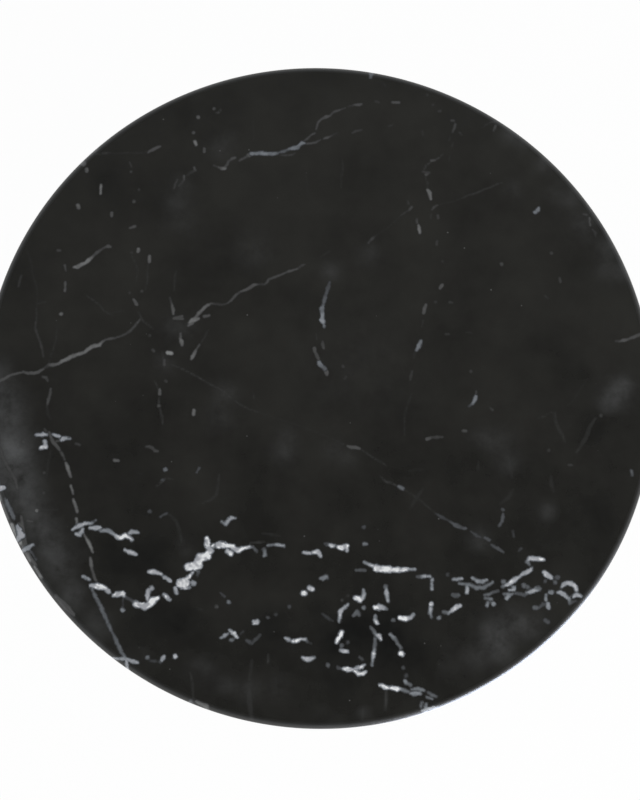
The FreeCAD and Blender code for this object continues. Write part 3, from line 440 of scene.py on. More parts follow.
# Clouds in the stone, and at the near edge painted sheen, a paler haze that stands in for the window's
# reflection: x, y and radius in millimetres, and strength in percent, below 0 darker than the stone.
CLOUDS_AND_SHEEN = (
    # left edge
    (-290, 5, 16, 30), (-281, -20, 17, 38), (-276, -42, 17, 36), (-268, -64, 16, 40),
    (-284, -66, 16, 34), (-272, -86, 16, 38), (-256, -90, 13, 22), (-260, -108, 15, 32),
    (-246, -124, 15, 30), (-237, -143, 14, 30), (-228, -163, 13, 32), (-216, -186, 12, 32),
    (-206, -150, 12, 14), (-194, -212, 14, 20), (-152, -228, 14, 14),
    # back
    (-127, 184, 9, 16), (-132, 168, 9, 16), (-126, 150, 12, 12), (-90, 222, 12, 18),
    (-62, 124, 14, 14), (45, 121, 10, 13), (8, 104, 8, 25), (-195, 188, 18, -45),
    # right
    (175, 238, 10, 26), (190, 229, 8, 22), (206, 210, 9, 24), (216, 182, 9, 15), (229, 177, 9, 16),
    (241, 152, 12, 17), (263, 128, 12, 26), (256, 108, 8, 14), (272, 108, 10, 26), (176, 185, 7, 14),
    (263, -8, 11, 34), (273, 3, 9, 26), (255, -18, 7, 18), (246, -38, 12, -30), (250, -112, 24, -25),
    (142, -47, 9, 14), (160, -50, 12, 15), (166, -70, 10, 13), (138, -138, 9, 24), (200, -112, 8, 20),
    # middle
    (-127, 50, 14, 17), (-140, 20, 8, 18), (-86, -8, 9, 22), (-90, -30, 12, 14), (-30, -45, 9, 13),
    (-33, -62, 10, 15), (10, -58, 9, 12), (24, -66, 8, 12), (-122, -145, 9, 16), (30, 20, 50, 4),
    # near edge: painted sheen, a paler haze put in place of the window's reflection on the polish
    (150, -218, 14, 26), (168, -208, 12, 24), (184, -213, 11, 24), (156, -233, 12, 22),
    (134, -238, 14, 14), (104, -240, 14, 12), (-62, -268, 9, 22), (-38, -265, 10, 16),
    (-104, -248, 12, 12), (-82, -262, 9, 14), (8, -282, 14, 10), (36, -286, 6, 16),
    # dark places round the bright belt
    (-176, -158, 20, -60), (-148, -153, 16, -60), (-150, -207, 18, -55), (-122, -210, 18, -60),
    (-45, -213, 14, -60), (30, -216, 20, -85), (58, -232, 18, -85), (60, -206, 14, -60),
    (16, -262, 16, -50), (8, -228, 14, -60), (-4, -196, 12, -30), (84, -236, 14, -45),
)
# Each set's veins, and the tone of a full-strength one, from 0 for the black stone to 1 for pure calcite.
VEIN_SETS = {"bright": (BRIGHT_VEINS, 1.0), "soft": (SOFT_VEINS, 0.60), "faint": (FAINT_LINES, 0.60)}
TONE_CURVE = 1.4                 # power that turns a vein's strength into its share of that tone
VEIN_TAPER = 0.45                # share of its width that a vein loses at its ends
VEIN_BLEND = 0.8                 # millimetres over which one vein's tone gives way to the next one's
CLEAR_MILK = 0.02                # milkiness up to which the stone counts as clear

# ---- fineness of the slab's mesh, in millimetres ----
COARSE_CELL = 8.0
HALVINGS = 3                     # how often a cell near a vein is split in four
VEIN_MARGIN = 0.8
FAR_FROM_VEINS = 8.0
CELL_REACH = 0.75                # share of its size within which a cell counts as near a vein
JITTER = 0.14                    # share of its size by which a cell's place is moved
JITTER_SEED = 7
RIM_STEPS = 1080
UPPER_STEPS, SIDE_ROWS, LOWER_STEPS = 9, 6, 4
RIM_GAP = 1.7                    # between the outermost cells and the edge of a flat face
SUPPORT_GAP = 1.0                # between a flat face's last two rings of points
FLAT_EDGE = 0.5                  # width at the edge of a flat face that counts as part of the side
LEVEL = 0.001                    # how far off a flat face a place may lie and still count as on it
PLY_OVERLAP = 10.0               # how far in over the plywood the underside's mesh stays fine
UNDERSIDE_LEAN = (6.0, -4.0)     # how far the veins have moved sideways where they leave the slab's underside

SAME_PLACE = 1e-6                # metres within which two vertices are merged


# ======== small helpers ========

def linear(code):
    """Linear colour with alpha 1 of an sRGB hex code."""
    channels = [int(code[i:i + 2], 16) / 255 for i in (1, 3, 5)]
    return tuple(c / 12.92 if c <= 0.04045 else ((c + 0.055) / 1.055) ** 2.4 for c in channels) + (1.0,)


def add_node(tree, kind, links=None, stops=None, **settings):
    """Adds a node with its settings, its colour stops and its sockets, each a value, a node or an output."""
    node = tree.nodes.new(kind)
    for name, value in settings.items():
        setattr(node, name, value)
    if stops:
        ramp = node.color_ramp.elements
        while len(ramp) < len(stops):
            ramp.new(1.0)
        for element, (place, code) in zip(ramp, stops):
            element.position = place
            element.color = linear(code)
    connect(tree, node, links or {})
    return node


def connect(tree, node, links):
    """Links or sets sockets of a node, by name or number. A node stands for its first output in use."""
    for socket, source in links.items():
        if isinstance(source, bpy.types.Node):
            source = next(output for output in source.outputs if output.enabled)
        if isinstance(source, bpy.types.NodeSocket):
            tree.links.new(source, node.inputs[socket])
        else:
            node.inputs[socket].default_value = source


def new_object(name, data):
    """A new object in the scene."""
    thing = bpy.data.objects.new(name, data)
    bpy.context.scene.collection.objects.link(thing)
    return thing


def per_metre(size):
    """Noise scale at which one feature is about that many millimetres wide."""
    return 1.0 / (size * MM)


def rounded_outline(corners, arc_step):
    """Points of a closed half section, each corner (radius, height[, round]) cut by a tangent arc."""
    points = [Vector(corner[:2]) for corner in corners]
    outline = []
    for i, corner in enumerate(points):
        size = corners[i][2] if len(corners[i]) > 2 else 0.0
        back = (points[i - 1] - corner).normalized()
        ahead = (points[(i + 1) % len(points)] - corner).normalized()
        half = back.angle(ahead) / 2
        if not size:
            outline.append(corner)
            continue
        start = corner + back * size / math.tan(half)
        end = corner + ahead * size / math.tan(half)
        centre = corner + (back + ahead).normalized() * size / math.sin(half)
        sweep = math.pi - 2 * half
        count = max(2, math.ceil(math.degrees(sweep) / arc_step))
        turn = sweep if (start - centre).cross(end - centre) > 0 else -sweep
        outline += [centre + Matrix.Rotation(turn * k / count, 2) @ (start - centre)
                    for k in range(count + 1)]
    return outline


def arc(centre, radius, first, last, count):
    """Places (radius, height) on an arc from one angle to another, in radians from level."""
    angles = [first + (last - first) * k / count for k in range(count + 1)]
    return [(centre[0] + radius * math.cos(a), centre[1] + radius * math.sin(a)) for a in angles]


def hexagonal(flats):
    """Radius of a hexagonal bar in a direction, for its width across the flats."""
    def radius(angle):
        return flats / 2 / math.cos(angle % (math.pi / 3) - math.pi / 6)
    return radius


def hexagon_rings(flats, bottom, top):
    """Rings of a spanner hexagon whose corners are turned off at 30 degrees."""
    end_share, slope = 0.96, math.radians(30)
    outline, face = hexagonal(flats), flats / 2 * end_share
    drop = lambda angle: (outline(angle) - face) * math.tan(slope)
    return [(face, bottom), (outline, lambda a: bottom + drop(a)), (outline, lambda a: top - drop(a)),
            (face, top)]


def ring_stack(rings, steps, closed=False):
    """Mesh of rings joined in order. A ring is (radius, height), each a number or a function of the angle."""
    angles = [2 * math.pi * k / steps for k in range(steps)]
    verts, rows = [], []
    for radius, height in rings:
        row = []
        for angle in angles:
            r = radius(angle) if callable(radius) else radius
            z = height(angle) if callable(height) else height
            row.append(len(verts))
            verts.append((r * math.cos(angle) * MM, r * math.sin(angle) * MM, z * MM))
        rows.append(row)
    pairs = list(zip(rows, rows[1:] + rows[:1])) if closed else list(zip(rows, rows[1:]))
    faces = [(low[k], low[(k + 1) % steps], high[(k + 1) % steps], high[k])
             for low, high in pairs for k in range(steps)]
    mesh = bpy.data.meshes.new("rings")
    mesh.from_pydata(verts, [], faces)
    return welded(mesh)


def welded(mesh, distance=SAME_PLACE):
    """The same mesh with its doubles merged, flat faces removed and normals turned outwards."""
    shell = bmesh.new()
    shell.from_mesh(mesh)
    bmesh.ops.remove_doubles(shell, verts=shell.verts, dist=distance)
    bmesh.ops.dissolve_degenerate(shell, edges=shell.edges, dist=distance)
    bmesh.ops.recalc_face_normals(shell, faces=shell.faces)
    shell.to_mesh(mesh)
    shell.free()
    return mesh


def joined(meshes):
    """One mesh of several."""
    shell = bmesh.new()
    for mesh in meshes:
        shell.from_mesh(mesh)
    whole = bpy.data.meshes.new("joined")
    shell.to_mesh(whole)
    shell.free()
    return whole


def moved(mesh, place, degrees=0.0):
    """A copy of a mesh turned about its Z axis and then moved, in millimetres."""
    copy = mesh.copy()
    copy.transform(Matrix.Translation(Vector(place) * MM) @ Matrix.Rotation(math.radians(degrees), 4, "Z"))
    return copy


def merged_copy(node):
    """The CAD node's own shape as one connected mesh."""
    return welded(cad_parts[node].data.copy(), 2 * SAME_PLACE)


def keep_piece(name, mesh, slot, *nodes, body="table", sharp=35.0):
    """Makes the finished object in its slot's finish, hangs it from its body's empty and hides the CAD nodes
    it stands for.
    """
    mesh.name = name
    mesh.materials.clear()
    mesh.materials.append(finish(slot))
    mesh.shade_smooth()
    mesh.set_sharp_from_angle(angle=math.radians(sharp))
    piece = new_object(name, mesh)
    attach(piece, body)
    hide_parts(*nodes)
    return piece


# ======== geometry node trees ========

def turned_section(add, given):
    """Turns a half section drawn in the XY plane about the table's axis."""
    circle = add("GeometryNodeCurvePrimitiveCircle", {"Resolution": given["Steps"],
                                                      "Radius": given["Path Radius"]})
    upright = add("GeometryNodeSetCurveNormal", {"Curve": circle}, mode="Z_UP")
    section = add("GeometryNodeMeshToCurve", {"Mesh": given["Mesh"]})
    swept = add("GeometryNodeCurveToMesh", {"Curve": upright, "Profile Curve": section})
    merged = add("GeometryNodeMergeByDistance", {"Geometry": swept, "Distance": SAME_PLACE})
    return add("GeometryNodeFlipFaces", {"Mesh": merged})


def copies_on_a_circle(add, given):
    """Sets copies of the mesh on a circle, each with its own small turn about its axis."""
    circle = add("GeometryNodeMeshCircle", {"Vertices": given["Copies"], "Radius": given["Circle Radius"]})
    first = add(COMBINE, {"Z": given["First Angle"]})
    started = add("GeometryNodeTransform", {"Geometry": circle, "Rotation": first})
    loose = add("FunctionNodeRandomValue", {2: 0.0, 3: given["Loose Turn"], "Seed": given["Seed"]},
                data_type="FLOAT")
    spin = add(COMBINE, {"Z": loose.outputs[1]})
    return add("GeometryNodeInstanceOnPoints", {"Points": started, "Instance": given["Mesh"],
                                                "Rotation": spin})


def screw_thread(add, given):
    """Presses a helical thread into the upright cylinder between two heights."""
    crest, root = 0.12, 0.88         # shares of half a pitch where the flank starts and ends
    runout_pitches = 0.6             # length over which the groove runs out at both ends
    skin_share = 0.98                # share of the radius outside which a place is on the skin
    split = add(SEPARATE, {0: add("GeometryNodeInputPosition")}).outputs
    flat = add(COMBINE, {"X": split["X"], "Y": split["Y"]})
    radius = add(VECTOR_MATH, {0: flat}, operation="LENGTH").outputs["Value"]
    angle = add(MATH, {0: split["Y"], 1: split["X"]}, operation="ARCTAN2")
    turns = add(MATH, {0: angle, 1: 2 * math.pi}, operation="DIVIDE")
    rise = add(MATH, {0: split["Z"], 1: given["Pitch"]}, operation="DIVIDE")
    lead = add(MATH, {0: rise, 1: turns}, operation="SUBTRACT")
    phase = add(MATH, {0: lead}, operation="FRACT")
    swing = add(MATH, {0: phase, 1: 2.0, 2: -1.0}, operation="MULTIPLY_ADD")
    flank = add(MATH, {0: swing}, operation="ABSOLUTE")
    groove = add(RANGE, {"Value": flank, "From Min": crest, "From Max": root})
    over = add(MATH, {0: split["Z"], 1: given["Bottom"]}, operation="SUBTRACT")
    under = add(MATH, {0: given["Top"], 1: split["Z"]}, operation="SUBTRACT")
    nearer = add(MATH, {0: over, 1: under}, operation="MINIMUM")
    inside = add(MATH, {0: nearer, 1: given["Pitch"]}, operation="DIVIDE")
    runout = add(RANGE, {"Value": inside, "From Max": runout_pitches})
    limit = add(MATH, {0: given["Outer Radius"], 1: skin_share}, operation="MULTIPLY")
    skin = add("FunctionNodeCompare", {0: radius, 1: limit}, operation="GREATER_THAN")
    share = add(MATH, {0: groove, 1: runout}, operation="MULTIPLY")
    cut = add(MATH, {0: share, 1: given["Depth"]}, operation="MULTIPLY")
    pull = add(MATH, {0: cut, 1: radius}, operation="DIVIDE")
    back = add(MATH, {0: pull, 1: -1.0}, operation="MULTIPLY")
    inward = add(VECTOR_MATH, {0: flat, "Scale": back}, operation="SCALE")
    return add("GeometryNodeSetPosition", {"Geometry": given["Mesh"], "Selection": skin, "Offset": inward})


TREES = {}


def shape_tree(shape, sizes):
    """Geometry node tree of a shape: named inputs, the shape's nodes, Realize Instances and Set Material."""
    tree = bpy.data.node_groups.new(shape.__name__, "GeometryNodeTree")
    for way in ("INPUT", "OUTPUT"):
        tree.interface.new_socket("Mesh", in_out=way, socket_type="NodeSocketGeometry")
    for label, size in sizes.items():
        kind = "NodeSocketInt" if isinstance(size, int) else "NodeSocketFloat"
        tree.interface.new_socket(label, in_out="INPUT", socket_type=kind)
    tree.interface.new_socket("Finish", in_out="INPUT", socket_type="NodeSocketMaterial")
    add = partial(add_node, tree)
    given = add("NodeGroupInput").outputs
    real = add("GeometryNodeRealizeInstances", {"Geometry": shape(add, given)})
    painted = add("GeometryNodeSetMaterial", {"Geometry": real, "Material": given["Finish"]})
    add("NodeGroupOutput", {"Mesh": painted})
    return tree


def modified(mesh, *modifiers):
    """The plain mesh that modifiers make of a mesh. Each is its type, its settings and its tree's inputs."""
    holder = new_object("holder", mesh)
    for kind, values, inputs in modifiers:
        modifier = holder.modifiers.new(kind, kind)
        for name, value in values.items():
            setattr(modifier, name, value)
        for identifier, value in inputs.items():
            modifier[identifier] = value
    seen = bpy.context.evaluated_depsgraph_get()
    plain = bpy.data.meshes.new_from_object(holder.evaluated_get(seen), depsgraph=seen)
    bpy.data.objects.remove(holder)
    return plain


def grown(mesh, shape, sizes, slot):
    """The plain mesh that the tree of a shape makes of a start mesh."""
    if shape not in TREES:
        TREES[shape] = shape_tree(shape, sizes)
    given = {**sizes, "Finish": finish(slot)}
    inputs = {item.identifier: given[item.name] for item in TREES[shape].interface.items_tree
              if item.in_out == "INPUT" and item.name in given}
    return modified(mesh, ("NODES", {"node_group": TREES[shape]}, inputs))


def turned(corners, slot, steps, arc_step=15.0):
    """Ring-shaped mesh turned from a closed half section that stays clear of the axis."""
    path = 1.0
    outline = rounded_outline(corners, arc_step)
    section = bpy.data.meshes.new("section")
    edges = [(i, (i + 1) % len(outline)) for i in range(len(outline))]
    section.from_pydata([((p.x - path) * MM, -p.y * MM, 0.0) for p in outline], edges, [])
    return grown(section, turned_section, {"Steps": steps, "Path Radius": path * MM}, slot)


def around(mesh, circles, slot, loose_turn=0.0, seed=1):
    """Copies of a mesh on one or more circles of (radius, copies, first angle), as one mesh."""
    rings = []
    for number, (radius, copies, first) in enumerate(circles):
        sizes = {"Circle Radius": radius * MM, "Copies": copies, "First Angle": math.radians(first),
                 "Loose Turn": math.radians(loose_turn), "Seed": seed + number}
        rings.append(grown(mesh.copy(), copies_on_a_circle, sizes, slot))
    return joined(rings)


def threaded(mesh, radius, pitch, depth, bottom, top, slot):
    """The mesh with a thread pressed into its upright skin between two heights, all in millimetres."""
    sizes = {"Pitch": pitch * MM, "Depth": depth * MM, "Outer Radius": radius * MM, "Bottom": bottom * MM,
             "Top": top * MM}
    return grown(mesh, screw_thread, sizes, slot)


def thread_rows(radius, bottom, top, pitch, rows=8):
    """Rings close enough together to carry a thread."""
    count = max(2, round((top - bottom) / pitch * rows))
    return [(radius, bottom + (top - bottom) * k / count) for k in range(count + 1)]


def softened(mesh, grain, passes):
    """The mesh remade of even small faces with its edges eased, as on a casting."""
    return modified(mesh, ("REMESH", {"mode": "VOXEL", "voxel_size": grain * MM}, {}),
                    ("SMOOTH", {"factor": 0.5, "iterations": passes}, {}))


def eased_edges(mesh, width):
    """The mesh with a small round on its sharp edges."""
    return modified(mesh, ("BEVEL", {"width": width * MM, "segments": 2, "limit_method": "ANGLE",
                                     "angle_limit": math.radians(32)}, {}))


# ======== the stone slab ========

def vein_rows(veins, top_tone):
    """Rows of x, y, x, y, half widths at both ends and whiteness, one for each straight run of each vein."""
    rows = []
    for width, strength, *line in veins:
        corners = [Vector(corner) for corner in zip(line[::2], line[1::2])]
        runs = list(zip(corners, corners[1:] or corners))
        whole = max(sum((end - start).length for start, end in runs), 1e-6)
        tone = top_tone * (strength / 100) ** TONE_CURVE
        done = 0.0
        for start, end in runs:
            halves = []
            for along in (done, done + (end - start).length):
                swell = 1 - VEIN_TAPER * abs(2 * along / whole - 1) ** 3 * min(1, whole / (2 * width))
                halves.append(width / 2 * swell)
            done += (end - start).length
            rows.append((*start, *end, *halves, tone))
    return rows


def vein_fields(x, y, rows):
    """How far each place lies inside a vein, in millimetres, and how white the stone is there."""
    reach = np.full(len(x), -FAR_FROM_VEINS)
    weight = np.full(len(x), 1e-9)
    tone = np.zeros(len(x))
    for ax, ay, bx, by, half_a, half_b, white in rows:
        margin = max(half_a, half_b) + FAR_FROM_VEINS
        near = np.flatnonzero((x > min(ax, bx) - margin) & (x < max(ax, bx) + margin)
                              & (y > min(ay, by) - margin) & (y < max(ay, by) + margin))
        if not len(near):
            continue
        run = max((bx - ax) ** 2 + (by - ay) ** 2, 1e-9)
        along = np.clip(((x[near] - ax) * (bx - ax) + (y[near] - ay) * (by - ay)) / run, 0, 1)
        off = np.hypot(x[near] - ax - along * (bx - ax), y[near] - ay - along * (by - ay))
        inside = half_a + (half_b - half_a) * along - off
        reach[near] = np.maximum(reach[near], inside)
        share = np.exp(inside / VEIN_BLEND)
        weight[near] += share
        tone[near] += share * white
    return reach, tone / weight


def milk_and_sheen_field(x, y):
    """Milkiness of the stone, with the painted sheen of the near edge, from -1 where it is darkest to 1."""
    milk_and_sheen = np.zeros(len(x))
    for cx, cy, radius, strength in CLOUDS_AND_SHEEN:
        far = ((x - cx) ** 2 + (y - cy) ** 2) / radius ** 2
        milk_and_sheen += strength / 100 * np.exp(-far)
    return np.clip(milk_and_sheen, -1, 1)


def graded_places(rows, faint, outer, lean, coarse_inside):
    """Places in a circle on a jittered lattice, finer near the veins but coarse within an inner radius."""
    jitter = np.random.default_rng(JITTER_SEED)
    ticks = np.arange(-outer, outer, COARSE_CELL) + COARSE_CELL / 2
    cells = np.array([(a, b) for a in ticks for b in ticks])
    size = COARSE_CELL
    kept = []
    for level in range(HALVINGS + 1):
        cells = cells[np.hypot(*cells.T) < outer + size]
        split = np.hypot(*cells.T) > coarse_inside
        if level == HALVINGS:
            split[:] = False
        else:
            near = rows if level == HALVINGS - 1 else rows + faint
            fx, fy = cells[:, 0] - lean[0], cells[:, 1] - lean[1]
            wanted = vein_fields(fx, fy, near)[0] > -(CELL_REACH * size + VEIN_MARGIN)
            if level == 0:
                wanted |= abs(milk_and_sheen_field(fx, fy)) > CLEAR_MILK
            split &= wanted
        leaves = cells[~split]
        kept.append(leaves + jitter.uniform(-JITTER, JITTER, leaves.shape) * size)
        quarters = np.array([(-1, -1), (-1, 1), (1, -1), (1, 1)]) * size / 4
        cells = (cells[split][:, None, :] + quarters[None]).reshape(-1, 2)
        size /= 2
    places = np.vstack(kept)
    return places[np.hypot(*places.T) < outer]


def slab_section():
    """Radius and height of each ring of the slab's side, from its top face down."""
    stone = bpy.context.scene.table_stone
    upper, lower = stone.upper_round / MM, stone.lower_round / MM
    straight = np.linspace(STONE_TOP - upper, STONE_BOTTOM + lower, SIDE_ROWS)[1:-1]
    return (arc((STONE_RADIUS - upper, STONE_TOP - upper), upper, math.pi / 2, 0, UPPER_STEPS)
            + [(STONE_RADIUS, height) for height in straight]
            + arc((STONE_RADIUS - lower, STONE_BOTTOM + lower), lower, 0, -math.pi / 2, LOWER_STEPS))


def disc_mesh(places, rim_radius, height, facing_up):
    """Flat disc through the places, closed by a ring of rim points."""
    turn = 2 * np.pi * np.arange(RIM_STEPS) / RIM_STEPS
    ring = np.column_stack((np.cos(turn), np.sin(turn)))
    support = ring * (rim_radius - SUPPORT_GAP)
    points = np.vstack((places, support, ring * rim_radius))
    whole_hull, nearest = 0, 1e-6
    found = geometry.delaunay_2d_cdt([Vector(p) for p in points], [], [], whole_hull, nearest)
    verts = [(p.x * MM, p.y * MM, height * MM) for p in found[0]]
    faces = found[2] if facing_up else [face[::-1] for face in found[2]]
    mesh = bpy.data.meshes.new("disc")
    mesh.from_pydata(verts, [], faces)
    return mesh


def read(items, name, width=1, kind=float):
    """One property of every item of a mesh, as an array with a row for each of its numbers."""
    values = np.empty(len(items) * width, dtype=kind)
    items.foreach_get(name, values)
    return values.reshape(-1, width).T.squeeze()


def slab_mesh():
    """The slab as one closed mesh, with the veins in its attributes and its own unwrapping."""
    rings = slab_section()
    radii, heights = np.array(rings).T
    skin = np.append(0, np.cumsum(np.hypot(np.diff(radii), np.diff(heights))))
    skin_length = lambda z: np.interp(z, heights[::-1], skin[::-1])
    veins = {kind: vein_rows(lines, tone) for kind, (lines, tone) in VEIN_SETS.items()}
    strong, faint = veins["bright"] + veins["soft"], veins["faint"]
    flat_top, flat_under = radii[0], radii[-1]
    places = graded_places(strong, faint, flat_top - RIM_GAP, (0, 0), 0)
    top = disc_mesh(places, flat_top, STONE_TOP, facing_up=True)
    places = graded_places(strong, faint, flat_under - RIM_GAP, UNDERSIDE_LEAN, PLY_RADIUS - PLY_OVERLAP)
    under = disc_mesh(places, flat_under, STONE_BOTTOM, facing_up=False)
    slab = welded(joined([top, ring_stack(rings, RIM_STEPS), under]))
    x, y, z = read(slab.vertices, "co", 3) / MM
    far = np.hypot(x, y)
    on_top = z > STONE_TOP - LEVEL
    beneath = (z < STONE_BOTTOM + LEVEL) & (far < flat_under - FLAT_EDGE)
    spread = np.where(on_top | beneath, far, flat_top + skin_length(z)) / np.maximum(far, 1e-6)
    fx = np.where(beneath, x - UNDERSIDE_LEAN[0], x * spread)
    fy = np.where(beneath, y - UNDERSIDE_LEAN[1], y * spread)
    edge = ~(on_top & (far < flat_top - FLAT_EDGE)) & ~beneath
    fields = {"milk_and_sheen": milk_and_sheen_field(fx, fy), "sawn": beneath.astype(float), "edge": edge.astype(float)}
    for kind, rows in veins.items():
        fields[kind + "_reach"], fields[kind + "_white"] = vein_fields(fx, fy, rows)
    for name, values in fields.items():
        slab.attributes.new(name, "FLOAT", "POINT").data.foreach_set("value", values)
    unwrap_slab(slab, (x, y, z), skin_length, flat_top, flat_under)
    return slab


def unwrap_slab(slab, places, skin_length, flat_top, flat_under):
    """Lays the top face, four lengths of the side and the underside in one square."""
    face_size, under_size, strip, gap = 0.76, 0.22, 0.05, 0.002    # shares of the square's side
    top_border, under_border = 4, 12                               # left free across a face, in millimetres
    side_left, side_bottom = 5 * gap, 10 * gap
    scale = face_size / (2 * flat_top + top_border)
    small = under_size / (2 * flat_under + under_border)
    px, py, pz = np.array(places)[:, read(slab.loops, "vertex_index", kind=int)]
    owner = np.repeat(np.arange(len(slab.polygons)), read(slab.polygons, "loop_total", kind=int))
    cx, cy, cz = read(slab.polygons, "center", 3)[:, owner] / MM
    on_top, beneath = cz > STONE_TOP - LEVEL, cz < STONE_BOTTOM + LEVEL
    quarter = np.floor((np.arctan2(cy, cx) % (2 * np.pi)) / (np.pi / 2))
    turn = (np.arctan2(py, px) - (quarter + 0.5) * np.pi / 2 + np.pi) % (2 * np.pi) - np.pi
    along = (turn + np.pi / 4) * STONE_RADIUS * scale + side_left
    across = face_size + side_bottom + quarter * strip + skin_length(pz) * scale
    u = np.where(on_top, px * scale + face_size / 2 + gap, along)
    v = np.where(on_top, py * scale + face_size / 2 + gap, across)
    u = np.where(beneath, px * small + 1 - under_size / 2 - gap, u)
    v = np.where(beneath, py * small + under_size / 2 + gap, v)
    slab.uv_layers.new(name="OFBake").data.foreach_set("uv", np.column_stack((u, v)).ravel())


def polished_black_marble(add, place):
    """Black marble, honed and wax-polished: a cloudy near-black, with white calcite in ragged veins."""
    stone = bpy.context.scene.table_stone
    field = {name: add("ShaderNodeAttribute", attribute_name=name).outputs["Fac"]
             for name in ("bright_reach", "bright_white", "soft_reach", "soft_white", "faint_reach",
                          "faint_white", "milk_and_sheen", "sawn", "edge")}

    # ragged edges: crystals about 2.4 mm across, a slower grain and small crumbs each move a vein's edge,
    # by up to so many millimetres either way
    crystals = add(VORONOI, {"Vector": place, "Scale": per_metre(2.4)})
    facet = add("ShaderNodeSeparateColor", {0: crystals.outputs["Color"]}).outputs[0]
    grain = add(NOISE, {"Vector": place, "Scale": per_metre(5), "Detail": 3.0})
    crumbs = add(NOISE, {"Vector": place, "Scale": per_metre(1.3), "Detail": 2.0})
    step, sway, bite = [add(MATH, {0: source, 1: 2 * most, 2: -most}, operation="MULTIPLY_ADD")
                        for source, most in ((facet, 0.4), (grain, 1.3), (crumbs, 0.4))]
    coarse = add(MATH, {0: step, 1: sway}, operation="ADD")
    ragged = add(MATH, {0: coarse, 1: bite}, operation="ADD")
    # the whiteness of a vein changes along it
    streaks = add(NOISE, {"Vector": place, "Scale": per_metre(6), "Detail": 1.0})
    patchy = add(RANGE, {"Value": streaks, "From Min": 0.34, "From Max": 0.62, "To Min": 0.84,
                         "To Max": 1.04})
    # each set of veins: how ragged its edge is, and the band over which it fades, in millimetres
    tones = {}
    for kind, share, fade_from, fade_to in (("bright", 0.80, -1.65, 0.85), ("soft", 0.50, -1.5, 0.8),
                                            ("faint", 0.35, -1.5, 0.9)):
        reach = add(MATH, {0: ragged, 1: share, 2: field[kind + "_reach"]}, operation="MULTIPLY_ADD")
        cover = add(RANGE, {"Value": reach, "From Min": fade_from, "From Max": fade_to},
                    interpolation_type="SMOOTHSTEP")
        tone = add(MATH, {0: cover, 1: field[kind + "_white"]}, operation="MULTIPLY")
        tones[kind] = add(MATH, {0: tone, 1: patchy}, operation="MULTIPLY", use_clamp=True)

    # single calcite grains, about 1.4 mm across, in a fifth of the cells of 13 mm
    cells = add(VORONOI, {"Vector": place, "Scale": per_metre(13)})
    lucky = add("ShaderNodeSeparateColor", {0: cells.outputs["Color"]}).outputs
    blurred = add(MATH, {0: crumbs, 1: 0.03, 2: cells.outputs["Distance"]}, operation="MULTIPLY_ADD")
    dot = add(MATH, {0: blurred, 1: 0.07}, operation="LESS_THAN")
    chosen = add(MATH, {0: lucky[0], 1: 0.80}, operation="GREATER_THAN")
    pale = add(MATH, {0: lucky[1], 1: 0.24, 2: 0.05}, operation="MULTIPLY_ADD")
    seen = add(MATH, {0: dot, 1: chosen}, operation="MULTIPLY")
    specks = add(MATH, {0: seen, 1: pale}, operation="MULTIPLY")
    thin = add(MATH, {0: tones["faint"], 1: specks}, operation="MAXIMUM")
    grey = add(MATH, {0: tones["soft"], 1: thin}, operation="MAXIMUM")

    # clouds about 60 mm across, paler towards the back, with a mottle of about 14 mm; the shift only picks
    # another stretch of the noise
    shifted = add(MAPPING, {"Vector": place, "Location": (0.7, 0, 0)})
    billows = add(NOISE, {"Vector": shifted, "Scale": per_metre(60), "Detail": 3.0})
    across = add(SEPARATE, {0: place}).outputs["Y"]
    paler = add(MATH, {0: across, 1: 0.75, 2: billows}, operation="MULTIPLY_ADD")
    cloud = add(RANGE, {"Value": paler, "From Min": 0.28, "From Max": 0.78})
    flecks = add(NOISE, {"Vector": place, "Scale": per_metre(14), "Detail": 5.0, "Roughness": 0.68})
    mottle = add(RANGE, {"Value": flecks, "From Min": 0.28, "From Max": 0.74})
    body = add(MIX, {0: cloud, 6: (*stone.stone_dark, 1.0), 7: (*stone.stone_light, 1.0)}, data_type="RGBA")
    # the milk, and the painted sheen at the near edge, gather in wisps about 26 mm across
    torn = add(NOISE, {"Vector": place, "Scale": per_metre(26), "Detail": 3.0})
    wisps = add(RANGE, {"Value": torn, "From Min": 0.30, "From Max": 0.70, "To Max": 0.8})
    thick = add(MATH, {0: mottle, 1: 1.2, 2: wisps}, operation="MULTIPLY_ADD")
    milk_and_sheen = add(MATH, {0: field["milk_and_sheen"], 1: thick}, operation="MULTIPLY", use_clamp=True)
    # greys the stone where it is milky, and at the near edge paints the sheen of the window's reflection in
    # the same grey
    milk_and_sheen_tint = add(MIX, {0: milk_and_sheen, 6: body, 7: linear("#595958")}, data_type="RGBA")
    depth = add(MATH, {0: field["milk_and_sheen"], 1: -1.0}, operation="MULTIPLY", use_clamp=True)
    deep = add(MIX, {0: depth, 6: milk_and_sheen_tint, 7: linear("#0d0d0c")}, data_type="RGBA")
    some = add(MATH, {0: mottle, 1: 0.20}, operation="MULTIPLY")
    mottled = add(MIX, {0: some, 6: deep, 7: linear("#33332e")}, data_type="RGBA")
    # grey veins are neutral, and the white ones turn bluish where they thin out
    veined = mottled
    for white, ramp in ((grey, [(0.0, "#2a2a28"), (0.25, "#535250"), (0.5, "#81817e"), (1.0, "#c8c8c4")]),
                        (tones["bright"], [(0.0, "#2a2a29"), (0.25, "#4a4b4c"), (0.45, "#6a6d6f"),
                                           (0.62, "#828588"), (0.87, "#adadaf"), (1.0, "#f0efec")])):
        calcite = add(RAMP, {"Fac": white}, ramp)
        shown = add(RANGE, {"Value": white, "From Max": 0.16})
        veined = add(MIX, {0: shown, 6: veined, 7: calcite}, data_type="RGBA")

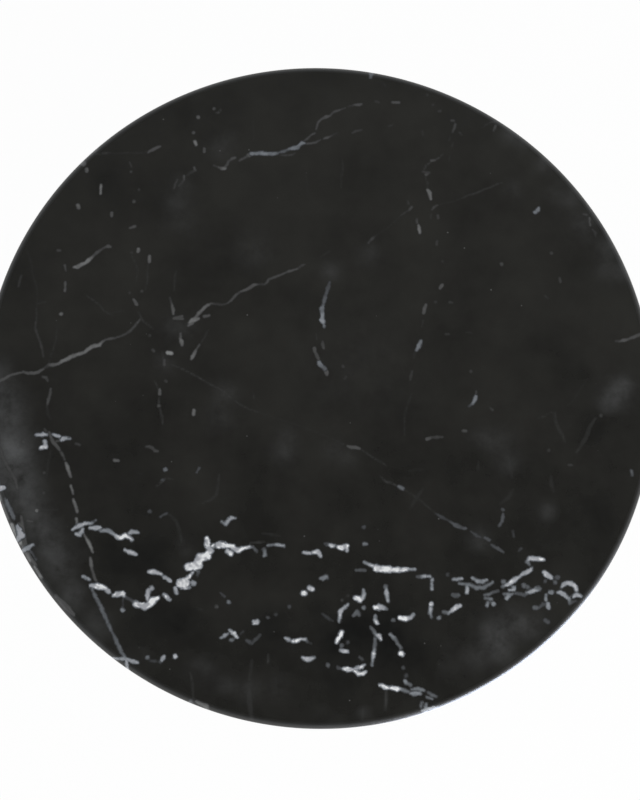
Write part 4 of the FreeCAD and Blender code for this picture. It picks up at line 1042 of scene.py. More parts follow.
    # the underside stays as the saw left it: greyer, matt, with shallow saw lines about 9 mm apart, which is
    # a third of the wave's scale
    dust = add(MATH, {0: field["sawn"], 1: 0.45}, operation="MULTIPLY")
    dusty = add(MIX, {0: dust, 6: veined, 7: linear("#6d6c69")}, data_type="RGBA")
    gloss = add(RANGE, {"Value": mottle, "To Min": 0.21, "To Max": 0.27})
    honed = add(MATH, {0: field["edge"], 1: 0.14, 2: gloss}, operation="MULTIPLY_ADD")
    rough = add(MATH, {0: field["sawn"], 1: 0.35, 2: honed}, operation="MULTIPLY_ADD")
    saw = add("ShaderNodeTexWave", {"Vector": place, "Scale": per_metre(27), "Distortion": 2.0})
    relief = add(MATH, {0: saw.outputs["Fac"], 1: field["sawn"]}, operation="MULTIPLY")
    bump = add(BUMP, {"Height": relief, "Strength": 0.25, "Distance": 0.2 * MM})
    return {"Base Color": dusty, "Roughness": rough, "Normal": bump, "IOR": 1.49}


class TABLE_OT_marble_slab(Operator):
    """Veined stone slab with its polished face and rounded edge."""
    bl_idname = "table.marble_slab"
    bl_label = "Stone top"

    def execute(self, context):
        keep_piece("stone_slab", slab_mesh(), "marble", "marble_top")
        return {"FINISHED"}


# ======== materials of the carrier and the foot ========

def cured_adhesive(add, place):
    """Neutral silicone, gunned on and pressed flat: a milky warm grey with a soft sheen."""
    swirl = add(NOISE, {"Vector": place, "Scale": per_metre(6), "Detail": 3.0, "Distortion": 0.8})
    tint = add(RAMP, {"Fac": swirl}, [(0.3, "#bdb9af"), (0.7, "#d3d0c8")])
    bump = add(BUMP, {"Height": swirl, "Strength": 0.4, "Distance": 0.2 * MM})
    return {"Base Color": tint, "Roughness": 0.42, "Normal": bump, "IOR": 1.41}


def lacquered_birch_plywood(add, place):
    """Birch plywood under clear lacquer: pale figured face, and thin light and dark plies on the cut edge."""
    height = add(SEPARATE, {0: place}).outputs["Z"]
    # face: growth figure about 14 mm wide, drawn out along X, over fibres about 0.9 mm apart
    drawn = add(MAPPING, {"Vector": place, "Scale": (0.12, 1.0, 1.0)})
    figure = add(NOISE, {"Vector": drawn, "Scale": per_metre(14), "Detail": 3.0, "Distortion": 0.6})
    fine = add(MAPPING, {"Vector": place, "Scale": (0.05, 1.0, 1.0)})
    fibres = add(NOISE, {"Vector": fine, "Scale": per_metre(0.9), "Detail": 3.0, "Roughness": 0.6})
    blend = add(MATH, {0: fibres, 1: 0.45, 2: figure}, operation="MULTIPLY_ADD")
    face = add(RAMP, {"Fac": blend}, [
        (0.52, "#9a744a"), (0.70, "#b38d60"), (0.88, "#c6a376")])
    # edge: plies of 1.36 mm, end grain darker than long grain, with a thin dark glue line between, inside
    # a skin of face veneer
    thickness, plies, skin = PLY_TOP - PLY_BOTTOM, 11, 0.25
    level = add(MATH, {0: height, 1: PLY_BOTTOM * MM}, operation="SUBTRACT")
    ply = add(MATH, {0: level, 1: thickness * MM / plies}, operation="DIVIDE")
    part = add(MATH, {0: ply}, operation="FRACT")
    number = add(MATH, {0: ply}, operation="FLOOR")
    odd = add(MATH, {0: number, 1: 2.0}, operation="MODULO")
    specks = add(NOISE, {"Vector": place, "Scale": per_metre(0.8), "Detail": 2.0})
    long_grain = add(RAMP, {"Fac": fibres}, [(0.35, "#a98355"), (0.65, "#c09a6c")])
    end_grain = add(RAMP, {"Fac": specks}, [(0.35, "#6f4f31"), (0.65, "#8f6a43")])
    bands = add(MIX, {0: odd, 6: long_grain, 7: end_grain}, data_type="RGBA")
    glue = add(MATH, {0: part, 1: 0.07}, operation="LESS_THAN")
    edge = add(MIX, {0: glue, 6: bands, 7: linear("#4a3423")}, data_type="RGBA")
    over = add(MATH, {0: level, 1: skin * MM}, operation="GREATER_THAN")
    under = add(MATH, {0: level, 1: (thickness - skin) * MM}, operation="LESS_THAN")
    between = add(MATH, {0: over, 1: under}, operation="MULTIPLY")
    wood = add(MIX, {0: between, 6: face, 7: edge}, data_type="RGBA")
    rough = add(RANGE, {"Value": fibres, "To Min": 0.38, "To Max": 0.52})
    bump = add(BUMP, {"Height": fibres, "Strength": 0.35, "Distance": 0.1 * MM})
    return {"Base Color": wood, "Roughness": rough, "Normal": bump, "IOR": 1.5}


def zinc_plated_steel(add, place):
    """Steel, turned or pressed, then bright zinc plated: cool grey metal with a patchy bluish bloom."""
    bloom = add(NOISE, {"Vector": place, "Scale": per_metre(9), "Detail": 3.0})
    tint = add(RAMP, {"Fac": bloom}, [
        (0.30, "#a3aab2"), (0.50, "#b4b6b8"), (0.70, "#bdbaae")])
    # the crystals of the plating are far finer than 1 mm, and are drawn at 0.5 mm so that they show
    sparkle = add(NOISE, {"Vector": place, "Scale": per_metre(0.5), "Detail": 2.0})
    rough = add(RANGE, {"Value": bloom, "From Min": 0.3, "From Max": 0.7, "To Min": 0.27, "To Max": 0.42})
    bump = add(BUMP, {"Height": sparkle, "Strength": 0.15, "Distance": 0.05 * MM})
    return {"Base Color": tint, "Metallic": 1.0, "Roughness": rough, "Normal": bump}


def black_powder_coat(add, place, grit, depth):
    """Black polyester powder, baked: satin, with a fine orange peel and, low down, pale rubs from shoes."""
    foot = bpy.context.scene.table_foot
    peel = add(NOISE, {"Vector": place, "Scale": per_metre(grit), "Detail": 2.0, "Roughness": 0.5})
    handled = add(NOISE, {"Vector": place, "Scale": per_metre(70), "Detail": 4.0, "Roughness": 0.6})
    tone = add(RANGE, {"Value": handled, "From Min": 0.35, "From Max": 0.65})
    colour = add(MIX, {0: tone, 6: (*foot.coat_dark, 1.0), 7: (*foot.coat_light, 1.0)}, data_type="RGBA")
    dull = add(RANGE, {"Value": handled, "From Min": 0.35, "From Max": 0.65, "To Min": 0.44, "To Max": 0.54})
    height = add(SEPARATE, {0: place}).outputs["Z"]
    # shoes reach up to 36 mm above the floor, and rub most below 20 mm
    low = add(RANGE, {"Value": height, "From Min": 36 * MM, "From Max": 20 * MM})
    flat = add(MAPPING, {"Vector": place, "Scale": (1.0, 1.0, 5.0)})
    rubs = add(NOISE, {"Vector": flat, "Scale": per_metre(11), "Detail": 6.0, "Roughness": 0.7})
    worn = add(RANGE, {"Value": rubs, "From Min": 0.60, "From Max": 0.70})
    rubbed = add(MATH, {0: worn, 1: low}, operation="MULTIPLY")
    faint = add(MATH, {0: rubbed, 1: 0.35}, operation="MULTIPLY")
    colour = add(MIX, {0: faint, 6: colour, 7: linear("#5c5c5b")}, data_type="RGBA")
    dull = add(MATH, {0: faint, 1: 0.4, 2: dull}, operation="MULTIPLY_ADD")
    bump = add(BUMP, {"Height": peel, "Strength": 0.5, "Distance": depth * MM})
    return {"Base Color": colour, "Roughness": dull, "Normal": bump, "IOR": 1.5}


def sand_cast_iron(add, place):
    """Grey iron as it leaves the sand, oiled: dark brownish grey with a coarse skin and a breath of rust."""
    sand = add(NOISE, {"Vector": place, "Scale": per_metre(1.8), "Detail": 4.0, "Roughness": 0.65})
    stain = add(NOISE, {"Vector": place, "Scale": per_metre(38), "Detail": 5.0, "Roughness": 0.6})
    skin = add(RAMP, {"Fac": sand}, [(0.3, "#3f3e3b"), (0.7, "#54524e")])
    rusty = add(RANGE, {"Value": stain, "From Min": 0.52, "From Max": 0.72, "To Max": 0.55})
    colour = add(MIX, {0: rusty, 6: skin, 7: linear("#5d4636")}, data_type="RGBA")
    dull = add(RANGE, {"Value": rusty, "To Min": 0.58, "To Max": 0.85})
    bump = add(BUMP, {"Height": sand, "Strength": 0.7, "Distance": 0.4 * MM})
    return {"Base Color": colour, "Metallic": 0.55, "Roughness": dull, "Normal": bump}


def moulded_nylon(add, place, dark, light, marked):
    """Filled nylon, injection moulded against a spark-eroded tool: matt black with a fine even grain."""
    # a spark-eroded grain is about 0.2 mm, and is drawn at 0.7 mm so that it shows
    spark = add(NOISE, {"Vector": place, "Scale": per_metre(0.7), "Detail": 2.0})
    flow = add(NOISE, {"Vector": place, "Scale": per_metre(12), "Detail": 3.0, "Distortion": 1.2})
    tint = add(RAMP, {"Fac": flow}, [(0.35, dark), (0.65, light)])
    rough = add(RANGE, {"Value": flow, "From Min": 0.35, "From Max": 0.65, "To Min": 0.42,
                        "To Max": 0.42 + marked})
    bump = add(BUMP, {"Height": spark, "Strength": 0.4, "Distance": 0.08 * MM})
    return {"Base Color": tint, "Roughness": rough, "Normal": bump, "IOR": 1.53}


def extruded_rubber(add, place):
    """EPDM rubber, extruded: deep matt black with fine draw lines and a grey bloom."""
    flat = add(MAPPING, {"Vector": place, "Scale": (0.05, 0.05, 1.0)})
    # draw lines are about 0.2 mm apart, and are drawn at 0.6 mm so that they show
    lines = add(NOISE, {"Vector": flat, "Scale": per_metre(0.6), "Detail": 2.0})
    bloom = add(NOISE, {"Vector": place, "Scale": per_metre(22), "Detail": 4.0})
    tint = add(RAMP, {"Fac": bloom}, [(0.40, "#171718"), (0.70, "#252526")])
    rough = add(RANGE, {"Value": bloom, "To Min": 0.55, "To Max": 0.75})
    bump = add(BUMP, {"Height": lines, "Strength": 0.4, "Distance": 0.1 * MM})
    return {"Base Color": tint, "Roughness": rough, "Normal": bump, "IOR": 1.52}


def closed_cell_foam(add, place):
    """Cross-linked polyethylene foam, cut from sheet: charcoal, dull, with open cut cells."""
    # cells are about 0.4 mm, and are drawn at 0.9 mm so that they show
    cells = add(VORONOI, {"Vector": place, "Scale": per_metre(0.9)})
    tint = add(RAMP, {"Fac": cells.outputs["Distance"]}, [
        (0.0, "#29292a"), (0.5, "#3a3a3b"), (1.0, "#48484a")])
    bump = add(BUMP, {"Height": cells.outputs["Distance"], "Strength": 0.6, "Distance": 0.3 * MM})
    return {"Base Color": tint, "Roughness": 0.86, "Normal": bump, "IOR": 1.5}


ZINC = "zinc_plated_steel"    # the slot that the small steel parts share

# each slot's material by name, its pattern and the pattern's own values
FINISHES = {
    "marble": ("polished black marble", polished_black_marble),
    "adhesive": ("cured silicone adhesive", cured_adhesive),
    "plywood": ("lacquered birch plywood", lacquered_birch_plywood),
    ZINC: ("bright zinc-plated steel", zinc_plated_steel),
    "coated_cast_iron": ("powder-coated cast iron", black_powder_coat, 2.2, 0.35),
    "powder_coated_steel": ("powder-coated steel", black_powder_coat, 0.9, 0.06),
    "raw_cast_iron": ("sand-cast grey iron", sand_cast_iron),
    "plug_nylon": ("moulded nylon plug", moulded_nylon, "#272728", "#2e2e2f", 0.05),
    "glide_nylon": ("moulded nylon glide", moulded_nylon, "#1c1c1d", "#252526", 0.12),
    "edge_rubber": ("extruded EPDM rubber", extruded_rubber),
    "foam": ("cut polyethylene foam", closed_cell_foam),
}
MADE = {}


def new_material(name):
    """A new material, its node tree and the way to add a node to it."""
    material = bpy.data.materials.new(name)
    material.use_nodes = True
    return material, material.node_tree, partial(add_node, material.node_tree)


def finish(slot):
    """The finish of a material slot, made once and shared by its pieces."""
    if slot not in MADE:
        name, pattern, *values = FINISHES[slot]
        material, tree, add = new_material(name)
        place = add("ShaderNodeTexCoord").outputs["Object"]
        connect(tree, tree.nodes["Principled BSDF"], pattern(add, place, *values))
        MADE[slot] = material
    return MADE[slot]


# ======== pieces of the carrier under the stone ========

class TABLE_OT_adhesive_dabs(Operator):
    """Dabs pressed to an even thickness, each with a slightly uneven outline."""
    bl_idname = "table.adhesive_dabs"
    bl_label = "Adhesive dabs"

    def execute(self, context):
        low, high = levels("adhesive_dabs")
        size = context.scene.table_stone.dab_radius / MM
        contact, shoulder, lip = 0.93, 0.985, 0.3

        def edge(share):
            return lambda a: size * share * (0.97 + 0.02 * math.sin(2 * a) + 0.01 * math.sin(5 * a))

        dab = ring_stack([(0, low), (edge(contact), low), (edge(shoulder), low + lip),
                          (edge(1.0), (low + high) / 2), (edge(shoulder), high - lip), (edge(contact), high),
                          (0, high)], steps=72)
        dabs = around(dab, DAB_CIRCLES, "adhesive", loose_turn=360, seed=3)
        keep_piece("adhesive_pads", dabs, "adhesive", "adhesive_dabs")
        return {"FINISHED"}


class TABLE_OT_plywood_disc(Operator):
    """Plywood carrier with its undercut edge, its screw holes and its seats for the tee nuts."""
    bl_idname = "table.plywood_disc"
    bl_label = "Plywood disc"

    def execute(self, context):
        disc = eased_edges(merged_copy("backing_disc"), width=0.3)
        keep_piece("plywood_carrier", disc, "plywood", "backing_disc")
        return {"FINISHED"}


def wedge(foot, head):
    """Four-sided solid between two level rectangles, each (inner x, outer x, half width, height)."""
    verts = []
    for inner, outer, half, z in (foot, head):
        verts += [(inner, -half, z), (outer, -half, z), (outer, half, z), (inner, half, z)]
    mesh = bpy.data.meshes.new("wedge")
    mesh.from_pydata([Vector(v) * MM for v in verts], [], [
        (0, 3, 2, 1), (4, 5, 6, 7), (0, 1, 5, 4), (1, 2, 6, 5), (2, 3, 7, 6), (3, 0, 4, 7)])
    return welded(mesh)


class TABLE_OT_spider(Operator):
    """The casting with eased edges and filled corners, under its powder coat."""
    bl_idname = "table.spider"
    bl_label = "Spider"

    def execute(self, context):
        casting = softened(merged_copy("spider"), grain=1.15, passes=3)
        keep_piece("cast_spider", casting, "coated_cast_iron", "spider", sharp=60)
        return {"FINISHED"}


class TABLE_OT_tee_nuts(Operator):
    """Pressed tee nuts whose prongs bite into the plywood."""
    bl_idname = "table.tee_nuts"
    bl_label = "Tee nuts"

    def execute(self, context):
        bore, barrel, flange, plate, bite = 3.05, 4.5, 9.5, 1.2, 6.0
        seat = TEE_TOP - plate
        body = turned([(bore, TEE_BOTTOM, 0.3), (barrel, TEE_BOTTOM, 0.4), (barrel, seat, 0.5),
                       (flange, seat, 0.4), (flange, TEE_TOP, 0.4), (bore, TEE_TOP, 0.6)], ZINC, steps=60)
        tip, root = (8.5, 8.7, 0.2, seat - bite), (7.9, 9.0, 1.6, seat)
        prong = wedge(tip, root)
        nut = joined([body] + [moved(prong, (0, 0, 0), turn) for turn in (45, 135, 225, 315)])
        nuts = around(nut, ARM_SCREW_CIRCLES, ZINC, loose_turn=90, seed=11)
        keep_piece("tee_nut_set", nuts, ZINC, "tee_nuts")
        return {"FINISHED"}


class TABLE_OT_washers(Operator):
    """Stamped washers, rounded on the die side."""
    bl_idname = "table.washers"
    bl_label = "Washers"

    def execute(self, context):
        hole, rim = 3.4, 7.5
        washer = turned([(hole, WASHER_BOTTOM, 0.35), (rim, WASHER_BOTTOM, 0.35), (rim, WASHER_TOP, 0.12),
                         (hole, WASHER_TOP, 0.12)], ZINC, steps=60)
        washers = around(washer, ARM_SCREW_CIRCLES, ZINC)
        keep_piece("washer_set", washers, ZINC, "top_washers")
        return {"FINISHED"}


class TABLE_OT_screws(Operator):
    """M6 button-head screws with a hexagon socket and a rolled thread."""
    bl_idname = "table.screws"
    bl_label = "Screws"

    def execute(self, context):
        low, seat, socket = SCREW_BOTTOM, WASHER_BOTTOM, hexagonal(4.0)
        head, dome, shank, pitch, depth = 5.4, 2.0, 3.0, 1.0, 0.55
        rings = [(0, low + 2.3), (lambda a: socket(a) * 0.6, low + 2.1), (socket, low + 2.0),
                 (socket, low + 0.3), (2.55, low), *arc((head - dome, low + dome), dome, -math.pi / 2, 0, 6),
                 (head, seat - 0.25), (head - 0.2, seat), (shank, seat)]
        rings += thread_rows(shank, seat + 0.1, SCREW_TOP - 0.8, pitch, rows=7)
        rings += [(shank - 0.7, SCREW_TOP), (0, SCREW_TOP)]
        screw = ring_stack(rings, steps=24)
        screw = threaded(screw, shank, pitch, depth, seat + 1.2, SCREW_TOP - 0.4, ZINC)
        screws = around(screw, ARM_SCREW_CIRCLES, ZINC, loose_turn=60, seed=5)
        keep_piece("screw_set", screws, ZINC, "top_screws")
        return {"FINISHED"}


# ======== column and tie rod ========

class TABLE_OT_column(Operator):
    """Drawn tube with its cut ends deburred."""
    bl_idname = "table.column"
    bl_label = "Column"

    def execute(self, context):
        wall = 2.0
        bore = COLUMN_RADIUS - wall
        tube = turned([(bore, COLUMN_BOTTOM, 0.3), (COLUMN_RADIUS, COLUMN_BOTTOM, 0.6),
                       (COLUMN_RADIUS, COLUMN_TOP, 0.6), (bore, COLUMN_TOP, 0.3)],
                      "powder_coated_steel", steps=192)
        keep_piece("steel_column", tube, "powder_coated_steel", "column_tube")
        return {"FINISHED"}


def hexagon_nut(flats, bore, bottom, top):
    """Nut with its corners turned off and its thread countersunk."""
    sink, flare = 0.6, 0.7
    rings = [(bore, bottom + sink), (bore + flare, bottom), *hexagon_rings(flats, bottom, top),
             (bore + flare, top), (bore, top - sink)]
    return ring_stack(rings, steps=96, closed=True)


class TABLE_OT_tie_rod(Operator):
    """M12 rod, threaded at both ends, with a nut and a washer at each."""
    bl_idname = "table.tie_rod"
    bl_label = "Tie rod"

    def execute(self, context):
        radius, run, chamfer = 6.0, 48.0, 1.1
        rings = [(0, ROD_BOTTOM), (radius - chamfer, ROD_BOTTOM)]
        rings += thread_rows(radius, ROD_BOTTOM + chamfer, ROD_BOTTOM + run, ROD_PITCH)
        rings += thread_rows(radius, ROD_TOP - run, ROD_TOP - chamfer, ROD_PITCH)
        rings += [(radius - chamfer, ROD_TOP), (0, ROD_TOP)]
        rod = ring_stack(rings, steps=48)
        for bottom in (ROD_BOTTOM, ROD_TOP - run):
            rod = threaded(rod, radius, ROD_PITCH, ROD_THREAD_DEPTH, bottom, bottom + run, ZINC)
        keep_piece("long_tie_rod", rod, ZINC, "tie_rod")
        flats, bore, rim = 19.0, 6.05, 12.0
        for end in ("top", "bottom"):
            low, high = levels(f"rod_{end}_nut")
            keep_piece(f"{end}_nut", hexagon_nut(flats, bore, low, high), ZINC, f"rod_{end}_nut")
            low, high = levels(f"rod_{end}_washer")
            corners = [(ROD_HOLE, low, 0.4), (rim, low, 0.5), (rim, high, 0.5), (ROD_HOLE, high, 0.4)]
            keep_piece(f"{end}_washer", turned(corners, ZINC, steps=96), ZINC, f"rod_{end}_washer")
        return {"FINISHED"}


class TABLE_OT_centring_plug(Operator):
    """Moulded plug that keeps the foot of the column on the axis of the rod."""
    bl_idname = "table.centring_plug"
    bl_label = "Centring plug"

    def execute(self, context):
        lead = 1.5
        plug = turned([(ROD_HOLE, PLUG_BOTTOM, 0.3), (PLUG_RADIUS, PLUG_BOTTOM, 0.4),
                       (PLUG_RADIUS, PLUG_TOP - lead, 0.5), (PLUG_RADIUS - lead, PLUG_TOP, 0.5),
                       (ROD_HOLE, PLUG_TOP, 0.5)], "plug_nylon", steps=144)
        keep_piece("nylon_plug", plug, "plug_nylon", "centring_plug")
        return {"FINISHED"}


class TABLE_OT_trim_collar(Operator):
    """Collar that hides the joint of the column and the foot."""
    bl_idname = "table.trim_collar"
    bl_label = "Trim collar"

    def execute(self, context):
        clearance, crown = 0.2, context.scene.table_foot.collar_round / MM
        bore = COLUMN_RADIUS + clearance
        collar = turned([(bore, COLLAR_BOTTOM, 0.2), (COLLAR_RADIUS, COLLAR_BOTTOM, 0.4),
                         (COLLAR_RADIUS, COLLAR_TOP, crown), (bore, COLLAR_TOP, 0.5)],
                        "powder_coated_steel", steps=144, arc_step=9)
        keep_piece("steel_collar", collar, "powder_coated_steel", "trim_collar")
        return {"FINISHED"}


# ======== the weighted foot ========

def cover_skin(inset):
    """Corners of the cover's outer skin, moved inwards by a distance square to the sheet."""
    shoulder, lip_top, crown, crown_round = 18.0, 14.0, 54.0, 30.0
    tilt = inset / math.cos(COVER_SLOPE)
    crest_radius = COVER_RADIUS - shoulder * (1 - math.sin(COVER_SLOPE))
    crest = lip_top + shoulder * math.cos(COVER_SLOPE)
    crest += (crest_radius - (COVER_RADIUS - inset)) * math.tan(COVER_SLOPE) - tilt
    return [(COVER_RADIUS - inset, COVER_BOTTOM, 0.4), (COVER_RADIUS - inset, crest, shoulder - inset),
            (crown - inset * math.tan(COVER_SLOPE / 2), COVER_TOP - inset, crown_round + inset)]


class TABLE_OT_base_cover(Operator):
    """Spun steel dish with an upright lip, a round shoulder and a shallow cone."""
    bl_idname = "table.base_cover"
    bl_label = "Foot cover"

    def execute(self, context):
        gauge = 1.5
        outside, inside = cover_skin(0.0), cover_skin(gauge)
        dish = turned(outside + [(ROD_HOLE, COVER_TOP), (ROD_HOLE, COVER_TOP - gauge)] + inside[::-1],
                      "powder_coated_steel", steps=288, arc_step=5)
        keep_piece("spun_cover", dish, "powder_coated_steel", "base_cover")
        return {"FINISHED"}


class TABLE_OT_edge_guard(Operator):
    """Rubber channel clipped over the lip of the cover."""
    bl_idname = "table.edge_guard"
    bl_label = "Edge guard"

    def execute(self, context):
        width, wall, web = 4.1, 1.2, 1.5
        inner = -size_of("edge_guard")[0].x - width
        guard = turned([(inner, GUARD_BOTTOM, 0.55), (GUARD_RADIUS, GUARD_BOTTOM, 0.55),
                        (GUARD_RADIUS, GUARD_TOP, 0.55), (GUARD_RADIUS - wall, GUARD_TOP, 0.3),
                        (GUARD_RADIUS - wall, GUARD_BOTTOM + web), (inner + wall, GUARD_BOTTOM + web),
                        (inner + wall, GUARD_TOP, 0.3), (inner, GUARD_TOP, 0.55)], "edge_rubber", steps=288)
        keep_piece("rubber_edge", guard, "edge_rubber", "edge_guard")
        return {"FINISHED"}


class TABLE_OT_ballast_plate(Operator):
    """Cast disc with its bosses, its edges eased."""
    bl_idname = "table.ballast_plate"
    bl_label = "Ballast plate"

    def execute(self, context):
        plate = eased_edges(merged_copy("ballast_plate"), width=0.5)
        keep_piece("cast_ballast", plate, "raw_cast_iron", "ballast_plate")
        return {"FINISHED"}


class TABLE_OT_foam_ring(Operator):
    """Soft ring nipped between the ballast and the cover, so its sides bulge."""
    bl_idname = "table.foam_ring"
    bl_label = "Foam ring"

    def execute(self, context):
        width, bulge = 7.0, 0.6
        outer, inner = FOAM_RADIUS, FOAM_RADIUS - width
        fall = width * math.tan(COVER_SLOPE)
        half = (FOAM_BOTTOM + FOAM_TOP) / 2
        ring = turned([(inner + bulge, FOAM_BOTTOM, 0.6), (outer - bulge, FOAM_BOTTOM, 0.6),
                       (outer, half - 0.3, 2.5), (outer - bulge, FOAM_TOP - fall, 0.6),
                       (inner + bulge, FOAM_TOP - 0.1, 0.6), (inner, half, 2.5)], "foam", steps=240)
        piece = keep_piece("foam_seal", ring, "foam", "foam_ring")
        return {"FINISHED"}


class TABLE_OT_glide_inserts(Operator):
    """Pressed-in bushes whose barrels are knurled."""
    bl_idname = "table.glide_inserts"
    bl_label = "Glide inserts"

    def execute(self, context):
        bore, barrel, flange, teeth, tooth = 4.0, 6.5, 8.5, 32, 0.16
        knurl = lambda angle: barrel - tooth * (1 - math.cos(teeth * angle))
        rings = [(bore, INSERT_BOTTOM + 0.7), (bore + 0.6, INSERT_BOTTOM), (flange - 0.3, INSERT_BOTTOM),
                 (flange, INSERT_BOTTOM + 0.3), (flange, INSERT_BOTTOM + 1.2), (barrel, INSERT_BOTTOM + 1.2),
                 (barrel - 0.2, INSERT_BOTTOM + 2.6), (knurl, INSERT_BOTTOM + 3.0), (knurl, INSERT_TOP - 1.0),
                 (barrel - 0.5, INSERT_TOP), (bore + 0.6, INSERT_TOP), (bore, INSERT_TOP - 0.7)]
        bush = ring_stack(rings, steps=192, closed=True)
        bushes = around(bush, [(GLIDE_CIRCLE, len(GLIDE_ANGLES), GLIDE_ANGLES[0])], ZINC)
        keep_piece("insert_set", bushes, ZINC, "glide_inserts")
        return {"FINISHED"}


def glide_pad_mesh():
    """Moulded foot with a snap-in ball socket and a slightly dished sole."""
    foot, crown, rim, toe, dish, groove = 17.0, PAD_TOP, 3.0, 1.0, 0.25, 0.35
    ball, centre = 5.1, PAD_BOTTOM + 6.3
    quarter = math.pi / 2
    mouth = math.sqrt(ball ** 2 - (crown - centre) ** 2)
    start = math.atan2(crown - 0.5 - centre, mouth)
    rings = [(0, PAD_BOTTOM + dish), (12.5, PAD_BOTTOM + dish), (13.2, PAD_BOTTOM),
             *arc((foot - toe, PAD_BOTTOM + toe), toe, -quarter, 0, 3), (foot, PAD_BOTTOM + 3.4),
             (foot - groove, PAD_BOTTOM + 3.7), (foot - groove, PAD_BOTTOM + 4.3), (foot, PAD_BOTTOM + 4.6),
             *arc((foot - rim, crown - rim), rim, 0, quarter, 7), (mouth + 0.7, crown),
             (mouth + 0.15, crown - 0.25), *arc((0, centre), ball, start, -quarter, 12)]
    return ring_stack(rings, steps=96)


def glide_stem_mesh():
    """Steel ball, neck, spanner hexagon and M8 thread in one piece."""
    ball, centre, neck = 5.0, STEM_BOTTOM + 5.0, 3.0
    low, high, flats, thread = centre + 3.6, centre + 7.4, 12.0, 3.95
    rings = [*arc((0, centre), ball, -math.pi / 2, math.acos(neck / ball), 16), (neck, low - 0.3),
             (neck + 0.3, low), *hexagon_rings(flats, low, high), (thread - 0.5, high),
             (thread - 0.5, high + 0.6), *thread_rows(thread, high + 1.0, STEM_TOP - 1.0, GLIDE_PITCH),
             (thread - 1.0, STEM_TOP), (0, STEM_TOP)]
    stem = ring_stack(rings, steps=48)
    return threaded(stem, thread, GLIDE_PITCH, GLIDE_THREAD_DEPTH, high + 0.8, STEM_TOP - 0.3, ZINC)


class TABLE_OT_glides(Operator):
    """Four levelling glides: each foot tilts on the ball of a stem that screws into the ballast."""
    bl_idname = "table.glides"
    bl_label = "Glides"

    def execute(self, context):
        pad, stem = glide_pad_mesh(), glide_stem_mesh()
        for number, angle in enumerate(GLIDE_ANGLES, 1):
            turn = math.radians(angle)
            spot = (GLIDE_CIRCLE * math.cos(turn), GLIDE_CIRCLE * math.sin(turn), 0)
            for part, mesh, slot, node in (("foot", pad, "glide_nylon", "pad"),
                                           ("screw", stem, ZINC, "stem")):
                keep_piece(f"glide_{part}_{number}", moved(mesh, spot, angle), slot, f"glide_{node}_{number}",
                           body=f"glide_{number}_{part}")
        return {"FINISHED"}


# ======== the stage ========

def aimed_lamp(name, azimuth, elevation, distance, size, level, colour):
    """A soft rectangular lamp that looks at the table's top; level is its radiance."""
    lamp = bpy.data.lights.new(name, "AREA")
    lamp.shape = "RECTANGLE"
    lamp.size, lamp.size_y = size
    lamp.energy = level * math.pi * size[0] * size[1]
    lamp.color = linear(colour)[:3]
    holder = new_object(name, lamp)
    a, e = math.radians(azimuth), math.radians(elevation)
    away = Vector((math.cos(a) * math.cos(e), math.sin(a) * math.cos(e), math.sin(e)))
    holder.location = Vector((0, 0, STONE_TOP * MM)) + away * distance
    holder.rotation_euler = away.to_track_quat("Z", "Y").to_euler()
    holder.visible_camera = False
    return holder


def show_white(add, shared):
    """Share of the plain white picture that a ray gets: all of it to the camera, and shared out to gloss."""
    path = add("ShaderNodeLightPath").outputs
    direct = add(MATH, {0: path["Is Camera Ray"], 1: path["Is Transmission Ray"]}, operation="ADD")
    return add(MATH, {0: path["Is Glossy Ray"], 1: shared, 2: direct}, operation="MULTIPLY_ADD",
               use_clamp=True)


def make_world():
    """White backdrop round a dim ceiling: soft light from all sides, bluish low down."""
    world = bpy.data.worlds.new("studio")
    world.use_nodes = True
    world.node_tree.nodes.clear()
    add = partial(add_node, world.node_tree)
    height = add(SEPARATE, {0: add("ShaderNodeTexCoord").outputs["Generated"]}).outputs["Z"]
    wall = add(RAMP, {"Fac": height}, [
        (0.0, "#fafbfd"), (0.35, "#e9ecf1"), (0.66, "#a0a5ac"), (0.90, "#4a4b4d"), (1.0, "#3c3c3e")])
    level = bpy.context.scene.table_stage.room_level
    light = add("ShaderNodeBackground", {"Color": wall, "Strength": level})
    backdrop = add("ShaderNodeBackground", {"Color": WHITE, "Strength": 1.0})
    low = add(RANGE, {"Value": height, "From Min": 0.35, "From Max": 0.05})
    mixed = add("ShaderNodeMixShader", {0: show_white(add, low), 1: light, 2: backdrop})
    add("ShaderNodeOutputWorld", {"Surface": mixed})
    bpy.context.scene.world = world


def make_floor():
    """Plain white floor that keeps a soft shadow and lets the eye through from below."""
    mesh, half = bpy.data.meshes.new("floor"), 6.0
    corners = [(-half, -half, 0), (half, -half, 0), (half, half, 0), (-half, half, 0)]
    mesh.from_pydata(corners, [], [(0, 1, 2, 3)])
    material, tree, add = new_material("white painted floor")
    paint = tree.nodes["Principled BSDF"]
    connect(tree, paint, {"Base Color": (*bpy.context.scene.table_stage.floor_colour, 1.0), "Roughness": 0.8})
    glow = add("ShaderNodeEmission", {"Color": WHITE, "Strength": 1.0})
    # what the floor itself shades, its soft shadow, is left as the last 4 percent
    seen = add(MATH, {0: show_white(add, 1.0), 1: 0.96}, operation="MULTIPLY")
    mixed = add("ShaderNodeMixShader", {0: seen, 1: paint, 2: glow})
    below = add("ShaderNodeNewGeometry").outputs["Backfacing"]
    clear = add("ShaderNodeBsdfTransparent")
    see_through = add("ShaderNodeMixShader", {0: below, 1: mixed, 2: clear})
    connect(tree, tree.nodes["Material Output"], {"Surface": see_through})
    mesh.materials.append(material)
    new_object("floor", mesh)


